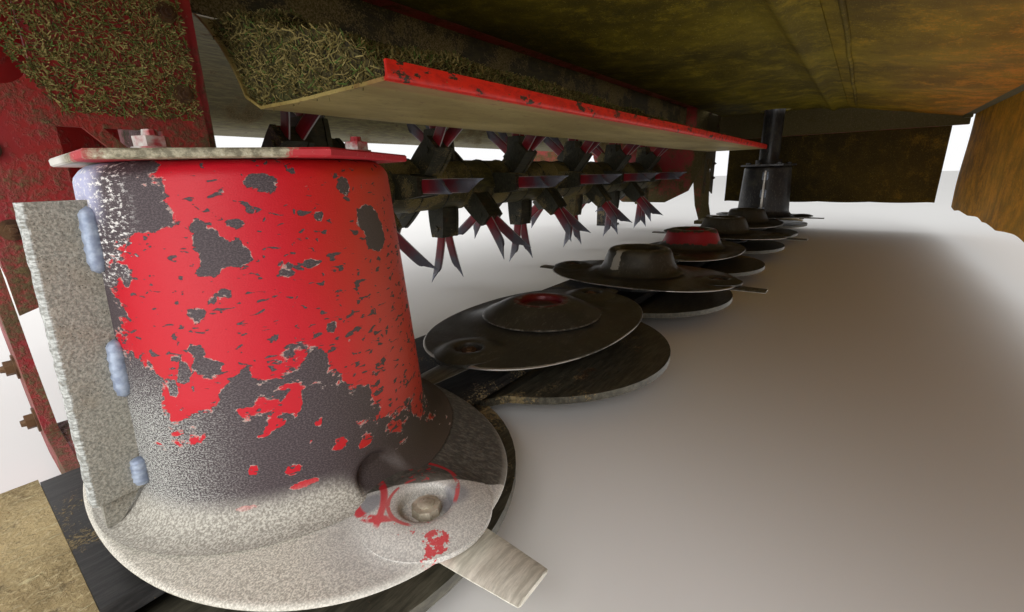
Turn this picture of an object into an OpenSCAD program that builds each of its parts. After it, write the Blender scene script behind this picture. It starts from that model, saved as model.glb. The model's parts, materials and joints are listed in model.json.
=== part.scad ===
// Header of a seven disc mower conditioner, 3 m cut, millimetres.
// +X is the machine's right, +Y is the way it mows, +Z is up and z = 0 is the ground.

/* [Cutterbar] */
// Number of cutting discs
disc_count = 7; // [5:2:9]
// Distance between neighbouring disc axes
disc_pitch = 430; // [420:5:460]
// Length of the bar beyond each end disc's axis
bar_end = 165; // [150:5:180]
// Front edge of the bar, ahead of the disc line
bar_front = 62; // [50:1:80]
// Rear edge of the bar, behind the disc line
bar_rear = 177; // [150:1:200]
// Height of the bar's underside
bar_z0 = 10; // [8:1:16]
// Height of the bar's top
bar_z1 = 58; // [54:1:62]

/* [Skid plates] */
// Gap between the round stone guards of neighbouring discs
skid_gap = 6; // [4:1:40]
// Thickness of the skid plate
skid_t = 10; // [6:1:12]
// Height of the top of the stone guard
skid_front_z = 46; // [36:1:50]
// Width of the sole under the bar
skid_w = 300; // [200:5:380]

/* [Discs] */
// Height of a disc's underside
disc_z = 81; // [78:1:90]
// Thickness of the disc plate
disc_t = 6; // [4:0.5:8]
// Half length of the oval disc
disc_a = 224; // [200:1:235]
// Half width of the oval disc
disc_b = 152; // [130:1:165]
// Radius of the disc's spindle
spindle_r = 20; // [15:1:30]
// Height of the raised centre of a disc
dome_h = 6; // [3:1:10]
// Radius of the raised centre of a disc
dome_r = 124; // [105:1:135]
// Radius at which the knife bolts sit
bolt_r = 183; // [170:1:190]

/* [Knives] */
// Radius of the knife tips
knife_tip_r = 280; // [240:1:290]
// Width of a knife at its bolt
knife_w = 46; // [35:1:55]
// Width of a knife at its tip
knife_end_w = 31; // [20:1:40]
// Thickness of a knife
knife_t = 4; // [3:0.5:5]

/* [Caps and drums] */
// Radius of a cap at its foot
cap_r = 94; // [80:1:100]
// Height of the low cap
cap_low_h = 26; // [20:1:35]
// Height of the tall caps
cap_tall_h = 55; // [40:1:70]
// Radius of a drum's foot above its flare
drum_r0 = 122; // [110:1:130]
// Radius of a drum at its shoulder
drum_r1 = 109; // [95:1:120]
// Height of the drum above its disc
drum_h = 248; // [200:1:270]
// Wall of the drum
drum_wall = 5; // [3:0.5:8]
// How far a lift bar stands out from the drum
lift_bar_out = 30; // [15:1:36]
// Thickness of a lift bar
lift_bar_t = 12; // [8:1:20]
// Corner radius of the plate on top of a drum
head_r = 128; // [126:1:135]
// Thickness of the plate on top of a drum
head_t = 9; // [5:1:14]

/* [Conditioner rotor] */
// Distance of the rotor axis behind the disc line
rotor_back = 585; // [575:1:600]
// Height of the rotor axis
rotor_z = 302; // [300:1:330]
// Radius of the rotor tube
rotor_r = 70; // [55:1:80]
// Gap between the rotor tube and each side plate
rotor_gap = 11; // [8:1:30]
// Wall of the rotor tube
rotor_wall = 8; // [5:1:12]
// Radius of the tine tips
tine_tip_r = 294; // [270:1:296]
// Distance between neighbouring stations of tines
station_pitch = 97.5; // [90:0.5:98]
// Stations of two lugs, each turned by 45 degrees from the last
station_count = 23; // [15:1:23]
// Width of a tine lug
lug_w = 66; // [50:1:80]
// Outer radius of the tine lugs
lug_r = 152; // [130:1:165]
// Width of a tine
tine_w = 34; // [25:1:45]
// Thickness of a tine
tine_t = 8; // [5:1:10]
// Angle that each tine of a pair leans along the rotor
tine_lean = 12; // [5:1:14]
// Radius of the rotor's stub shafts
stub_r = 22; // [18:1:30]

/* [Conditioner housing] */
// Thickness of the shelf and hood sheet
sheet_t = 4; // [3:0.5:6]
// Gap between each end of the shelf and the side plate
shelf_gap = 52; // [20:2:120]
// Distance of the conditioner's side plates inside the end disc's axis
side_in = 94; // [88:1:100]
// Thickness of the conditioner's side plates
side_t = 10; // [6:1:14]
// Height of the shelf
shelf_z = 417; // [405:1:430]
// Height of the red lip on the shelf's front edge
lip_h = 20; // [10:1:30]
// Inner radius of the hood about the rotor axis
hood_r = 306; // [304:1:312]

/* [Frame] */
// Depth of the main beam
beam_d = 130; // [100:5:150]
// Height of the main beam
beam_h = 120; // [100:5:140]
// Distance of the main beam's front face behind the disc line
beam_back = 290; // [270:5:300]
// Height of the main beam's underside
beam_z = 650; // [645:1:660]
// Distance of the end frames outside the end disc's axis
end_out = 134; // [128:1:140]
// Thickness of the end frames
end_t = 12; // [8:1:16]
// Length of the main beam outside each end frame
beam_out = 84; // [80:1:110]
// Distance between the ribs of the roof
rib_pitch = 540; // [480:5:560]
// Side of the square rails that carry the guards
rail_s = 40; // [30:1:50]
// Height of the side rails' underside
rail_z = 490; // [480:1:500]
// Reach of the front rail ahead of the disc line
front_reach = 760; // [720:5:800]

/* [Guards] */
// Thickness of the guard cloth
cloth_t = 4; // [3:0.5:6]
// Height of the curtains' lower edge
hem_z = 118; // [80:1:160]
// Height of the side guards' lower edge
side_hem_z = 142; // [100:1:180]
// Distance of the front guard's hinge ahead of the disc line
hinge_fwd = 240; // [200:5:300]
// Radius of the hinge tube
hinge_r = 16; // [12:1:20]

/* [Drive and hitch] */
// Radius of the input stub shaft
input_r = 17.5; // [15:0.5:25]
// Length of the input stub shaft outside its box
input_len = 95; // [70:1:120]
// Radius of the pin holes in the hitch lugs
pin_r = 14.25; // [11:0.25:19]
// Distance from the middle to each pair of lower hitch lugs
lug_half = 410; // [350:5:500]
// Thickness of a hitch lug
hitch_t = 20; // [12:1:25]
// Gap between the two lugs of a pair
hitch_gap = 56; // [45:1:80]

/* [Stands and swath boards] */
// Distance of the stands behind the disc line
stand_back = 915; // [900:5:930]
// Gap between a side plate and its stand
stand_gap = 10; // [6:1:16]
// Side of the square stand leg
stand_s = 50; // [40:1:60]
// Radius of the pins that carry the stands and the swath boards
pivot_r = 10; // [8:1:12]
// Reach of the swath boards behind the disc line
rear_reach = 1394; // [1300:2:1450]
// Length of a swath board
board_len = 400; // [300:10:450]
// Height of a swath board
board_h = 330; // [250:10:360]
// Lean of the swath boards towards the middle
board_in = 14; // [5:1:20]

/* [Hidden] */
$fn = 64;

steel = "#5b5854";
worn = "#77736c";
red = "#c4161c";
dull_red = "#8e1f1a";
cloth = "#6b5321";
black = "#1d1c1b";
mud = "#7d6a4c";

// The origin is below the middle of the whole, so the disc line lies ahead of it
front_y = front_reach + cloth_t;
line_y = (rear_reach - front_y) / 2;
end_disc_x = (disc_count - 1) / 2 * disc_pitch;
bar_half = end_disc_x + bar_end;
skid_r = (disc_pitch - skid_gap) / 2;
side_half = end_disc_x - side_in;
shelf_half = side_half - shelf_gap;
rotor_len = 2 * (side_half - rotor_gap);
end_half = end_disc_x + end_out;
beam_half = end_half + end_t + beam_out;
disc_top = disc_z + disc_t;
dome_top = disc_top + dome_h;
drum_top = disc_top + drum_h;
run_fit = 0.1;
seat = 0.3;
hub_top = disc_z - 1.5;
knife_z = disc_z - 8;
beam_y1 = -beam_back;
beam_y0 = beam_y1 - beam_d;
box_z = beam_z + 20;
box_s = 150;
shaft_r = 46;
joint_r = 24;

// X of disc n, counted from the right
function disc_x(n) = ((disc_count + 1) / 2 - n) * disc_pitch;

// Odd discs point along Y and even discs along X, so that the ovals pass each other
function disc_turn(n) = n % 2 == 1 ? 90 : 0;

// Oval outline a little fuller than an ellipse
function oval(a, b, m = 56) = [
    for (i = [0:m - 1]) let (t = 360 * i / m, c = cos(t), s = sin(t))
        [a * sign(c) * pow(abs(c), 0.92), b * sign(s) * pow(abs(s), 0.92)]];

// Points of an arc about a centre, from angle t0 to t1
function arc(centre, r, t0, t1, m = 8) = [
    for (i = [0:m]) let (t = t0 + (t1 - t0) * i / m) centre + r * [cos(t), sin(t)]];

// A sheet of constant thickness along a path: the path and its offset copy
function side_step(p, i) =
    let (n = len(p), a = p[max(i - 1, 0)], b = p[min(i + 1, n - 1)], d = b - a)
    [-d[1], d[0]] / norm(d);
function sheet_outline(p, t) = concat(
    p, [for (i = [len(p) - 1:-1:0]) p[i] + side_step(p, i) * t]);

module at_line() {
    translate([0, line_y, 0]) children();
}

module at_disc(n) {
    at_line() translate([disc_x(n), 0, 0]) rotate(disc_turn(n)) children();
}

// Extrudes a YZ outline along X from x0 to x1
module along_x(x0, x1) {
    translate([x0, 0, 0]) rotate([90, 0, 90]) linear_extrude(x1 - x0) children();
}

module box(x0, x1, y0, y1, z0, z1) {
    translate([x0, y0, z0]) cube([x1 - x0, y1 - y0, z1 - z0]);
}

// s is 1 for the right side and -1 for the left
module on_side(s) {
    if (s > 0) children(); else mirror([1, 0, 0]) children();
}

bar_outline = [
    [-bar_rear, bar_z0 + 22], [-bar_rear + 24, bar_z0], [-25, bar_z0],
    [bar_front, bar_z1 - 8], [bar_front - 10, bar_z1], [-bar_rear + 12, bar_z1],
    [-bar_rear, bar_z1 - 10]];

module cutterbar() {
    color(steel) at_line() along_x(-bar_half, bar_half) polygon(bar_outline);
}

skid_outline = [
    [-bar_rear - 6, skid_t + 12], [-bar_rear + 20, 0], [-14, 0],
    [78, skid_front_z - skid_t], [skid_r, skid_front_z - skid_t],
    [skid_r, skid_front_z], [75, skid_front_z], [-20, bar_z0],
    [-bar_rear + 24, bar_z0], [-bar_rear, skid_t + 16]];

module skid_plates() {
    color(worn) at_line()
        for (n = [1:disc_count]) translate([disc_x(n), 0, 0]) intersection() {
            along_x(-skid_r, skid_r) polygon(skid_outline);
            union() {
                cylinder(r = skid_r, h = 100);
                box(-skid_w / 2, skid_w / 2, -bar_rear - 10, 0, 0, 60);
            }
        }
}

module disc_hubs() {
    color(steel) at_line()
        for (n = [1:disc_count]) translate([disc_x(n), 0, 0]) difference() {
            union() {
                translate([0, 0, bar_z1]) cylinder(r = 88, h = 5);
                translate([0, 0, bar_z1]) cylinder(r1 = 70, r2 = 58, h = hub_top - bar_z1);
            }
            translate([0, 0, bar_z1 + 4]) cylinder(r = spindle_r + run_fit, h = 40);
        }
}

// Underside of an end frame's foot, above the skid's rear edge
foot_z = skid_t + 20;

// Outline of an end frame in YZ: a leg that comes down behind the drum to the bar's end
end_outline = [
    [beam_y0, beam_z], [beam_y0, 330], [beam_y0 + 30, 120], [beam_y0 + 60, 30],
    [beam_y0 + 90, 14], [-bar_rear - 20, 14], [-bar_rear - seat, foot_z],
    [-bar_rear - seat, bar_z1 - 12],
    [beam_y1 - 5, bar_z1 - 4], [beam_y1 - 22, 130], [beam_y1 - 34, 330],
    [beam_y1, 470], [beam_y1, beam_z]];

module end_frame(s) {
    color(dull_red) at_line() on_side(s) {
        along_x(end_half, end_half + end_t) polygon(end_outline);
        box(end_disc_x - 70, end_half, beam_y0 + 90, -bar_rear - seat, foot_z, bar_z1 - 10);
    }
}

// Shoe on the bar's end, cut out round the end skid and below the disc's sweep
module end_shoe(s) {
    color(mud) at_line() on_side(s) difference() {
        along_x(bar_half + seat, bar_half + 62) polygon([
            [-bar_rear - 20, 26], [-bar_rear + 10, 4], [-20, 0], [30, 0],
            [170, 34], [176, 44], [120, 56], [-bar_rear, 56], [-bar_rear - 20, 44]]);
        translate([end_disc_x, 0, -1])
            cylinder(r = skid_r + seat, h = skid_front_z + seat + 1);
    }
}

// Hood sheet: the lip, the flat shelf, the bend and the wider arc over the rotor
rotor_c = [-rotor_back, rotor_z];
hood_start = 26;
hood_wide = 62;
hood_stop = 146;
hood_tail = [-930, 440];
shelf_path = concat(
    [[5, shelf_z + lip_h], [5, shelf_z], [-275, shelf_z]],
    arc(rotor_c, hood_r, hood_start, hood_wide, 6));
hood_path = concat(arc(rotor_c, hood_r, hood_wide, hood_stop, 12), [hood_tail]);

module shelf_hood() {
    color("#77735a") at_line() {
        along_x(-shelf_half, shelf_half) polygon(sheet_outline(shelf_path, -sheet_t));
        along_x(-side_half, side_half) polygon(sheet_outline(hood_path, -sheet_t));
    }
}

side_outline = [
    [-305, 345], [-300, 470], [beam_y1 - 6, 560], [beam_y1 - 6, beam_z],
    [beam_y0, beam_z], [-640, 632], [-840, 560], [-960, 500], [-965, 420],
    [-900, 250], [-760, 150], [-500, 150], [-370, 215]];

module side_plate(s) {
    color(dull_red) at_line() on_side(s) difference() {
        along_x(side_half, side_half + side_t) polygon(side_outline);
        translate([side_half - 1, -rotor_back, rotor_z]) rotate([0, 90, 0])
            cylinder(r = stub_r + 16, h = side_t + 2);
    }
}

// Box beam, closed at both ends
module main_beam() {
    wall = 8;
    color(dull_red) at_line() difference() {
        box(-beam_half, beam_half, beam_y0, beam_y1, beam_z, beam_z + beam_h);
        box(-beam_half + wall, beam_half - wall, beam_y0 + wall, beam_y1 - wall,
            beam_z + wall, beam_z + beam_h - wall);
    }
}

rail_x = beam_half - rail_s;
rail_top = rail_z + rail_s;
rail_y1 = front_reach - 10;
hinge_z = 632;
roof_z = hinge_z + hinge_r;
web_t = 5;
arm_h = 24;
guard_x = rail_x - 6;
front_z = rail_top + seat;
arm_y0 = hinge_fwd + 20;
arm_y1 = front_reach - rail_s;
guard_half = rail_x - 2;
stop_in = 44;

// Side guard hinge: its axis, its two eyes and the bar's reach
eye_r = 17;
bar_r = 9;
guard_hinge_x = beam_half + eye_r + 1;
guard_hinge_z = rail_z + rail_s / 2;
guard_y0 = beam_y1 + 10;
guard_y1 = rail_y1 - 20;
eye_w = 24;

// Side rails, the posts that hang them on the beam's ends, the wall above each
// rail, the stop that the front guard's bar rests on and the side guard's eyes
module side_rails() {
    color(dull_red) at_line() for (s = [-1, 1]) on_side(s) {
        box(rail_x, beam_half, beam_y1 - rail_s, rail_y1, rail_z, rail_top);
        box(rail_x, beam_half, beam_y1 - rail_s, beam_y1, rail_top, beam_z);
        box(rail_x - stop_in, rail_x, arm_y1 + 2, rail_y1, rail_top - 14, rail_top);
        along_x(rail_x, rail_x + web_t) polygon([
            [beam_y1, rail_top], [arm_y1 - 8, rail_top], [arm_y1 - 8, front_z + 2],
            [arm_y0, hinge_z - 2], [hinge_fwd - 20, roof_z], [beam_y1, roof_z]]);
        for (y = [guard_y0, guard_y1 - eye_w])
            translate([guard_hinge_x, y, guard_hinge_z]) rotate([-90, 0, 0])
                difference() {
                    union() {
                        cylinder(r = eye_r, h = eye_w);
                        translate([-eye_r - 3, -7, 0]) cube([eye_r, 14, eye_w]);
                    }
                    translate([0, 0, -1]) cylinder(r = bar_r + run_fit, h = eye_w + 2);
                }
    }
}

rib_xs = [-2, -1, 0, 1, 2] * rib_pitch;

// Ribs from the beam to the hinge tube
module roof_frame() {
    color(dull_red) at_line() {
        for (x = rib_xs)
            box(x - 15, x + 15, beam_y1, hinge_fwd, hinge_z - arm_h / 2,
                hinge_z + arm_h / 2);
        translate([-rail_x, hinge_fwd, hinge_z]) rotate([0, 90, 0])
            cylinder(r = hinge_r, h = 2 * rail_x);
    }
}

// Cloth below the ribs of the rear half of the roof
module roof_cover() {
    z = hinge_z - arm_h / 2 - seat - cloth_t;
    color(cloth) at_line() difference() {
        box(-rail_x, rail_x, beam_y1 + seat, hinge_fwd - 36, z, z + cloth_t);
        translate([-end_disc_x, 0, z - 5]) cylinder(r = shaft_r + 24, h = 20);
    }
}

bearing_h = 34;

module rotor_bearings() {
    color(black) at_line() for (s = [-1, 1]) on_side(s)
        translate([side_half + side_t, -rotor_back, rotor_z]) rotate([0, 90, 0])
            difference() {
                union() {
                    cylinder(r = 70, h = 12);
                    cylinder(r1 = 54, r2 = 46, h = bearing_h);
                }
                translate([0, 0, -1]) cylinder(r = stub_r + run_fit, h = 40);
            }
}

input_z = beam_z + beam_h + 78;
input_y = beam_y0 + 65;
belt_x0 = side_half + side_t + bearing_h + 18;
belt_x1 = end_half - 20;

// Closed belt drive housing from the cross shaft, behind the beam, down to the rotor
module belt_guard() {
    color(red) at_line() difference() {
        along_x(belt_x0, belt_x1) polygon(concat(
            arc([-rotor_back, rotor_z], 118, 170, 325, 10),
            arc([beam_y0 - 88, input_z], 84, 0, 180, 10)));
        translate([belt_x0 - 1, -rotor_back, rotor_z]) rotate([0, 90, 0])
            cylinder(r = 60, h = 20);
    }
}

panel_y = beam_y1 - 12;
panel_t = 6;

// Front panel between a side plate and the end frame, with a strut and a round hole
module end_panel(s) {
    x0 = side_half + side_t + seat;
    x1 = end_half - seat;
    color(dull_red) at_line() on_side(s) translate([0, panel_y + panel_t, 0])
        rotate([90, 0, 0]) linear_extrude(panel_t) difference() {
            polygon([
                [x0, 200], [x0 + 50, 200], [x0 + 50, 300], [x0 + 124, 385],
                [x1 - 72, 385], [x1 - 72, 215], [x1, 190], [x1, beam_z],
                [x0, beam_z]]);
            polygon([[x0 + 50, 320], [x0 + 106, 385], [x0 + 50, 385]]);
            translate([x1 - 36, 452]) circle(r = 30);
            translate([x1 - 66, 452]) square([60, 60]);
        }
}

// Wall from the hood up to the beam
module rear_wall() {
    color(dull_red) at_line()
        box(-side_half, side_half, beam_y0 + 6, beam_y0 + 10, 562, beam_z);
}

// Angle drive above the left drum, on an arm from the beam
module gearbox_left() {
    color(steel) at_line() mirror([1, 0, 0]) difference() {
        union() {
            translate([end_disc_x, 0, box_z + 12]) cylinder(r = 74, h = box_s - 24);
            box(end_disc_x - 62, end_disc_x + 62, -110, 62, box_z + 20, box_z + box_s - 30);
            box(end_disc_x - 50, end_disc_x + 50, beam_y1, -100, box_z + 10, box_z + 90);
            translate([end_disc_x, 0, box_z]) cylinder(r = 56, h = 16);
        }
        translate([end_disc_x, 0, box_z - 1]) cylinder(r = joint_r + run_fit, h = 60);
    }
}

// Centre gearbox on the beam, the tubes of the cross shafts and their end boxes:
// the left one drives the discs and the right one the rotor's belts
module gearbox_centre() {
    color(steel) at_line() difference() {
        union() {
            box(-95, 95, input_y - 95, input_y + 95, beam_z + beam_h, input_z + 80);
            translate([0, input_y + 95, input_z]) rotate([-90, 0, 0])
                cylinder(r = 62, h = 22);
            translate([0, input_y - 95 - 22, input_z]) rotate([-90, 0, 0])
                cylinder(r = 62, h = 22);
            box(-150, 150, input_y - 80, input_y + 80, beam_z + beam_h,
                beam_z + beam_h + 14);
            translate([-end_disc_x + 40, input_y, input_z]) rotate([0, 90, 0])
                cylinder(r = 44, h = belt_x0 + end_disc_x - 60);
            box(20 - end_disc_x, 130 - end_disc_x, input_y - 60, input_y + 60,
                beam_z + beam_h, input_z + 62);
            box(belt_x0 - 98, belt_x0 - seat, beam_y0 - 100, input_y + 60,
                beam_z + beam_h, input_z + 62);
        }
        translate([0, input_y - 95 - 23, input_z]) rotate([-90, 0, 0])
            cylinder(r = input_r + run_fit, h = 70);
    }
}

module input_shaft() {
    color(worn) at_line() translate([0, input_y - 95 - 22 - input_len, input_z])
        rotate([-90, 0, 0]) {
            cylinder(r = input_r, h = input_len + 60);
            translate([0, 0, input_len - 12]) cylinder(r = input_r + 10, h = 10);
        }
}

hitch_y = beam_y0 - 62;
hitch_z = beam_z + 42;

// Two pairs of lugs behind the beam, all on one pin line
module hitch_lugs() {
    color(dull_red) at_line() for (x = [-lug_half, lug_half], k = [-1, 1])
        translate([x + k * (hitch_gap + hitch_t) / 2 - hitch_t / 2, 0, 0]) difference() {
            along_x(0, hitch_t) polygon(concat(
                [[beam_y0, beam_z + 4], [beam_y0, beam_z + beam_h - 4]],
                arc([hitch_y, hitch_z], 40, 75, 285, 12)));
            translate([-1, hitch_y, hitch_z]) rotate([0, 90, 0])
                cylinder(r = pin_r, h = hitch_t + 2);
        }
}

// Radius of the raised seat round a knife bolt
boss_r = 36;

module spin_knives() {
    for (k = [0, 180]) rotate(k) children();
}

module disc(n) {
    color(n == 1 ? worn : black) at_disc(n) {
        translate([0, 0, disc_z]) linear_extrude(disc_t / 2)
            polygon(oval(disc_a, disc_b));
        translate([0, 0, disc_z + disc_t / 2]) linear_extrude(disc_t / 2)
            polygon(oval(disc_a - 5, disc_b - 5));
        translate([0, 0, disc_top]) cylinder(r1 = dome_r, r2 = dome_r - 20, h = dome_h);
        translate([0, 0, bar_z1 + 6]) cylinder(r = spindle_r, h = disc_z - bar_z1 - 6);
        spin_knives() translate([bolt_r, 0, disc_top]) {
            cylinder(r1 = boss_r, r2 = boss_r - 8, h = 5);
            cylinder(r = 14, h = 12, $fn = 6);
        }
    }
}

knife_in = 22;
knife_out = knife_tip_r - bolt_r;

module knives(n) {
    color("#8c8a88") at_disc(n) spin_knives() translate([bolt_r, 0, knife_z]) {
        linear_extrude(knife_t) polygon([
            [-knife_in, -knife_w / 2 + 8], [-knife_in + 10, -knife_w / 2],
            [10, -knife_w / 2], [knife_out - 7, -knife_end_w / 2],
            [knife_out - 1, -knife_end_w / 2 + 6], [knife_out - 1, knife_end_w / 2 - 6],
            [knife_out - 7, knife_end_w / 2], [10, knife_w / 2],
            [-knife_in + 10, knife_w / 2], [-knife_in, knife_w / 2 - 8]]);
        cylinder(r = 15, h = disc_z - knife_z);
        translate([0, 0, -5]) cylinder(r = 13, h = 5, $fn = 6);
    }
}

module cap(n, h) {
    color(n == 2 || n == 4 ? dull_red : black) at_disc(n)
        translate([0, 0, dome_top]) rotate_extrude() polygon([
            [0, 0], [cap_r, 0], [cap_r - 3, 6], [cap_r - 20, h - 8], [cap_r - 31, h],
            [46, h], [41, h - 11], [0, h - 11]]);
}

flare = 28;
shoulder = 14;
drum_out = concat(
    arc([drum_r0 + flare, flare], flare, 270, 180, 8),
    arc([drum_r1 - shoulder, drum_h - shoulder], shoulder, 0, 90, 6));
drum_in = [
    [60, drum_h], [60, drum_h - drum_wall], [drum_r1 - shoulder, drum_h - drum_wall],
    [drum_r1 - drum_wall, drum_h - shoulder], [drum_r0 - drum_wall, flare],
    [drum_r0 - drum_wall, 0]];

// Drum shell with two lift bars welded up its sides
module drum(n) {
    color(n == 1 ? red : black) at_line() translate([disc_x(n), 0, 0])
        translate([0, 0, dome_top - dome_h]) difference() {
            union() {
                rotate_extrude() polygon(concat(drum_out, drum_in));
                for (k = [0, 180]) rotate(k + 5) intersection() {
                    translate([drum_r1 - 8, -lift_bar_t / 2, 22])
                        cube([60, lift_bar_t, drum_h - 22 - 22]);
                    cylinder(r1 = drum_r0 + lift_bar_out + 1,
                             r2 = drum_r1 + lift_bar_out, h = drum_h);
                }
            }
            translate([0, 0, -1]) cylinder(r = drum_r0 - drum_wall - 1, h = flare);
            translate([0, 0, -1]) cylinder(r = dome_r + seat, h = dome_h + 1);
            rotate(disc_turn(n)) spin_knives() translate([bolt_r, 0, -1])
                cylinder(r = boss_r + seat, h = 10);
            translate([0, 0, flare - 2]) cylinder(
                r1 = drum_r0 - drum_wall, r2 = drum_r1 - drum_wall,
                h = drum_h - shoulder - flare + 2);
        }
}

// Turn of the six-sided plate on a drum
head_turn = 40;

// Plate bolted on a drum, with the guarded drive shaft on the left drum
module drum_head(n) {
    color(n == 1 ? red : black) at_line() translate([disc_x(n), 0, drum_top]) {
        rotate(head_turn) cylinder(r = head_r, h = head_t, $fn = 6);
        for (k = [0:5]) rotate(k * 60 + head_turn) translate([92, 0, head_t - 1])
            cylinder(r = 13, h = 10, $fn = 6);
    }
    if (n == disc_count) color(black) at_line()
        translate([disc_x(n), 0, drum_top + head_t - 1]) {
            cylinder(r = 60, h = 23);
            cylinder(r = shaft_r, h = box_z - drum_top - head_t - 7);
            cylinder(r = joint_r, h = box_z - drum_top - head_t + 50);
        }
}

stub_out = 48;

// Rotor tube with a solid stub shaft in each end
module rotor_tube() {
    color("#3b3a2c") at_line() translate([-rotor_len / 2, -rotor_back, rotor_z])
        rotate([0, 90, 0]) {
            difference() {
                cylinder(r = rotor_r, h = rotor_len);
                translate([0, 0, 20])
                    cylinder(r = rotor_r - rotor_wall, h = rotor_len - 40);
            }
            translate([0, 0, -stub_out]) cylinder(r = stub_r, h = stub_out + 1);
            translate([0, 0, rotor_len - 1]) cylinder(r = stub_r, h = stub_out + 1);
        }
}

// Length of a tine beyond its root in the lug
tine_reach = (sqrt(pow(tine_tip_r, 2) - pow(tine_w / 2, 2)) - 128) / cos(tine_lean) - 3;

// One pair of tines on its lug, pointing along +Y
module tine_pair() {
    along_x(-lug_w / 2, lug_w / 2) polygon([
        [rotor_r - 6, -30], [lug_r - 22, -30], [lug_r, -12], [lug_r, 14],
        [lug_r - 16, 26], [rotor_r - 6, 34]]);
    for (s = [-1, 1]) translate([s * 9, 128, 0]) rotate(-s * tine_lean)
        translate([-tine_t / 2, 0, 0]) rotate([90, 0, 90]) linear_extrude(tine_t)
            polygon([
                [-6, -tine_w / 2], [tine_reach - 6, -tine_w / 2 + 2],
                [tine_reach, tine_w / 2 - 16], [tine_reach - 34, tine_w / 2],
                [-6, tine_w / 2]]);
}

// Stations of two pairs, which wind round the rotor in steps of 45 degrees
module rotor_tines() {
    first_x = (station_count - 1) / 2 * station_pitch + 17.5;
    color(red) at_line() translate([0, -rotor_back, rotor_z]) difference() {
        for (k = [0:station_count - 1], back = [0, 180])
            translate([first_x - k * station_pitch, 0, 0])
                rotate([k * 45 + back, 0, 0]) tine_pair();
        translate([-rotor_len, 0, 0]) rotate([0, 90, 0])
            cylinder(r = rotor_r, h = 2 * rotor_len);
    }
}

arm_xs = concat([-guard_x + 20], [-1.5, -0.5, 0.5, 1.5] * rib_pitch, [guard_x - 20]);

// Front guard: arms from the eyes on the hinge tube to the front bar
module front_guard_frame() {
    color(dull_red) at_line() difference() {
        union() {
            for (x = arm_xs) {
                along_x(x - 15, x + 15) polygon([
                    [hinge_fwd, hinge_z - arm_h / 2], [arm_y1, front_z],
                    [arm_y1, front_z + rail_s], [hinge_fwd, hinge_z + arm_h / 2]]);
                translate([x - 15, hinge_fwd, hinge_z]) rotate([0, 90, 0])
                    cylinder(r = hinge_r + 8, h = 30);
            }
            box(-guard_half, guard_half, arm_y1, front_reach, front_z, front_z + rail_s);
        }
        translate([-rail_x, hinge_fwd, hinge_z]) rotate([0, 90, 0])
            cylinder(r = hinge_r + run_fit, h = 2 * rail_x);
    }
}

// Cloth below the arms of the front guard, which slopes down to its bar
module front_guard_top() {
    drop = (hinge_z - arm_h / 2 - front_z) / (arm_y1 - hinge_fwd);
    rear_z = hinge_z - arm_h / 2 - drop * (hinge_r + 16) - seat;
    color(cloth) at_line() along_x(-guard_x, guard_x) polygon([
        [hinge_fwd + hinge_r + 16, rear_z - cloth_t], [arm_y1, front_z - seat - cloth_t],
        [arm_y1, front_z - seat], [hinge_fwd + hinge_r + 16, rear_z]]);
}

module front_curtain() {
    color(cloth) at_line() box(-guard_half, guard_half, front_reach + seat,
        front_reach + cloth_t, hem_z, front_z + rail_s);
}

guard_len = guard_hinge_z - side_hem_z;
guard_fold = 187;

// A side guard hangs from its bar; the right one stands folded up and leans inwards
module folded(s) {
    at_line() on_side(s) translate([guard_hinge_x, 0, guard_hinge_z])
        rotate([0, s > 0 ? -guard_fold : 0, 0]) children();
}

module side_guard_bar(s) {
    color(dull_red) folded(s) {
        rotate([-90, 0, 0]) translate([0, 0, guard_y0])
            cylinder(r = bar_r, h = guard_y1 - guard_y0);
    }
}

module side_curtain(s) {
    color(cloth) folded(s)
        box(-cloth_t / 2, cloth_t / 2, guard_y0 + eye_w + 6, guard_y1 - eye_w - 6,
            -guard_len, -bar_r - seat);
}

stand_x = side_half + side_t + stand_gap + stand_s / 2;
stand_pivot_z = 455;

// On each side plate's outer face, the pin and cheek that carry the stand
module stand_brackets() {
    color(dull_red) at_line() for (s = [-1, 1]) on_side(s)
        translate([0, -stand_back, stand_pivot_z]) {
            translate([side_half + side_t, 0, 0]) rotate([0, 90, 0])
                cylinder(r = 30, h = stand_gap - seat);
            translate([side_half + side_t, 0, 0]) rotate([0, 90, 0])
                cylinder(r = pivot_r, h = stand_gap + stand_s + 16);
            translate([stand_x + stand_s / 2 + seat, 0, 0]) rotate([0, 90, 0])
                cylinder(r = 22, h = 8);
        }
}

// A stand leg on its pin, with the foot ahead of the pin so that its load keeps it down
module stand(s) {
    color(steel) at_line() on_side(s) translate([stand_x, -stand_back, 0]) difference() {
        union() {
            box(-stand_s / 2, stand_s / 2, -stand_s / 2, stand_s / 2, 12, stand_pivot_z);
            translate([-stand_s / 2, 0, stand_pivot_z]) rotate([0, 90, 0])
                cylinder(r = stand_s / 2, h = stand_s);
            box(-60, 60, -8, 92, 0, 12);
            box(-stand_s / 2, stand_s / 2, -stand_s / 2, stand_s / 2, 4, 14);
        }
        translate([-stand_s, 0, stand_pivot_z]) rotate([0, 90, 0])
            cylinder(r = pivot_r + run_fit, h = 2 * stand_s);
    }
}

board_y = -rear_reach + board_len * cos(board_in) + 2 * sin(board_in);
board_x = side_half - 16;
board_z = 215;
board_lug_zs = [432, 476];
board_lug_h = 12;

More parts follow.
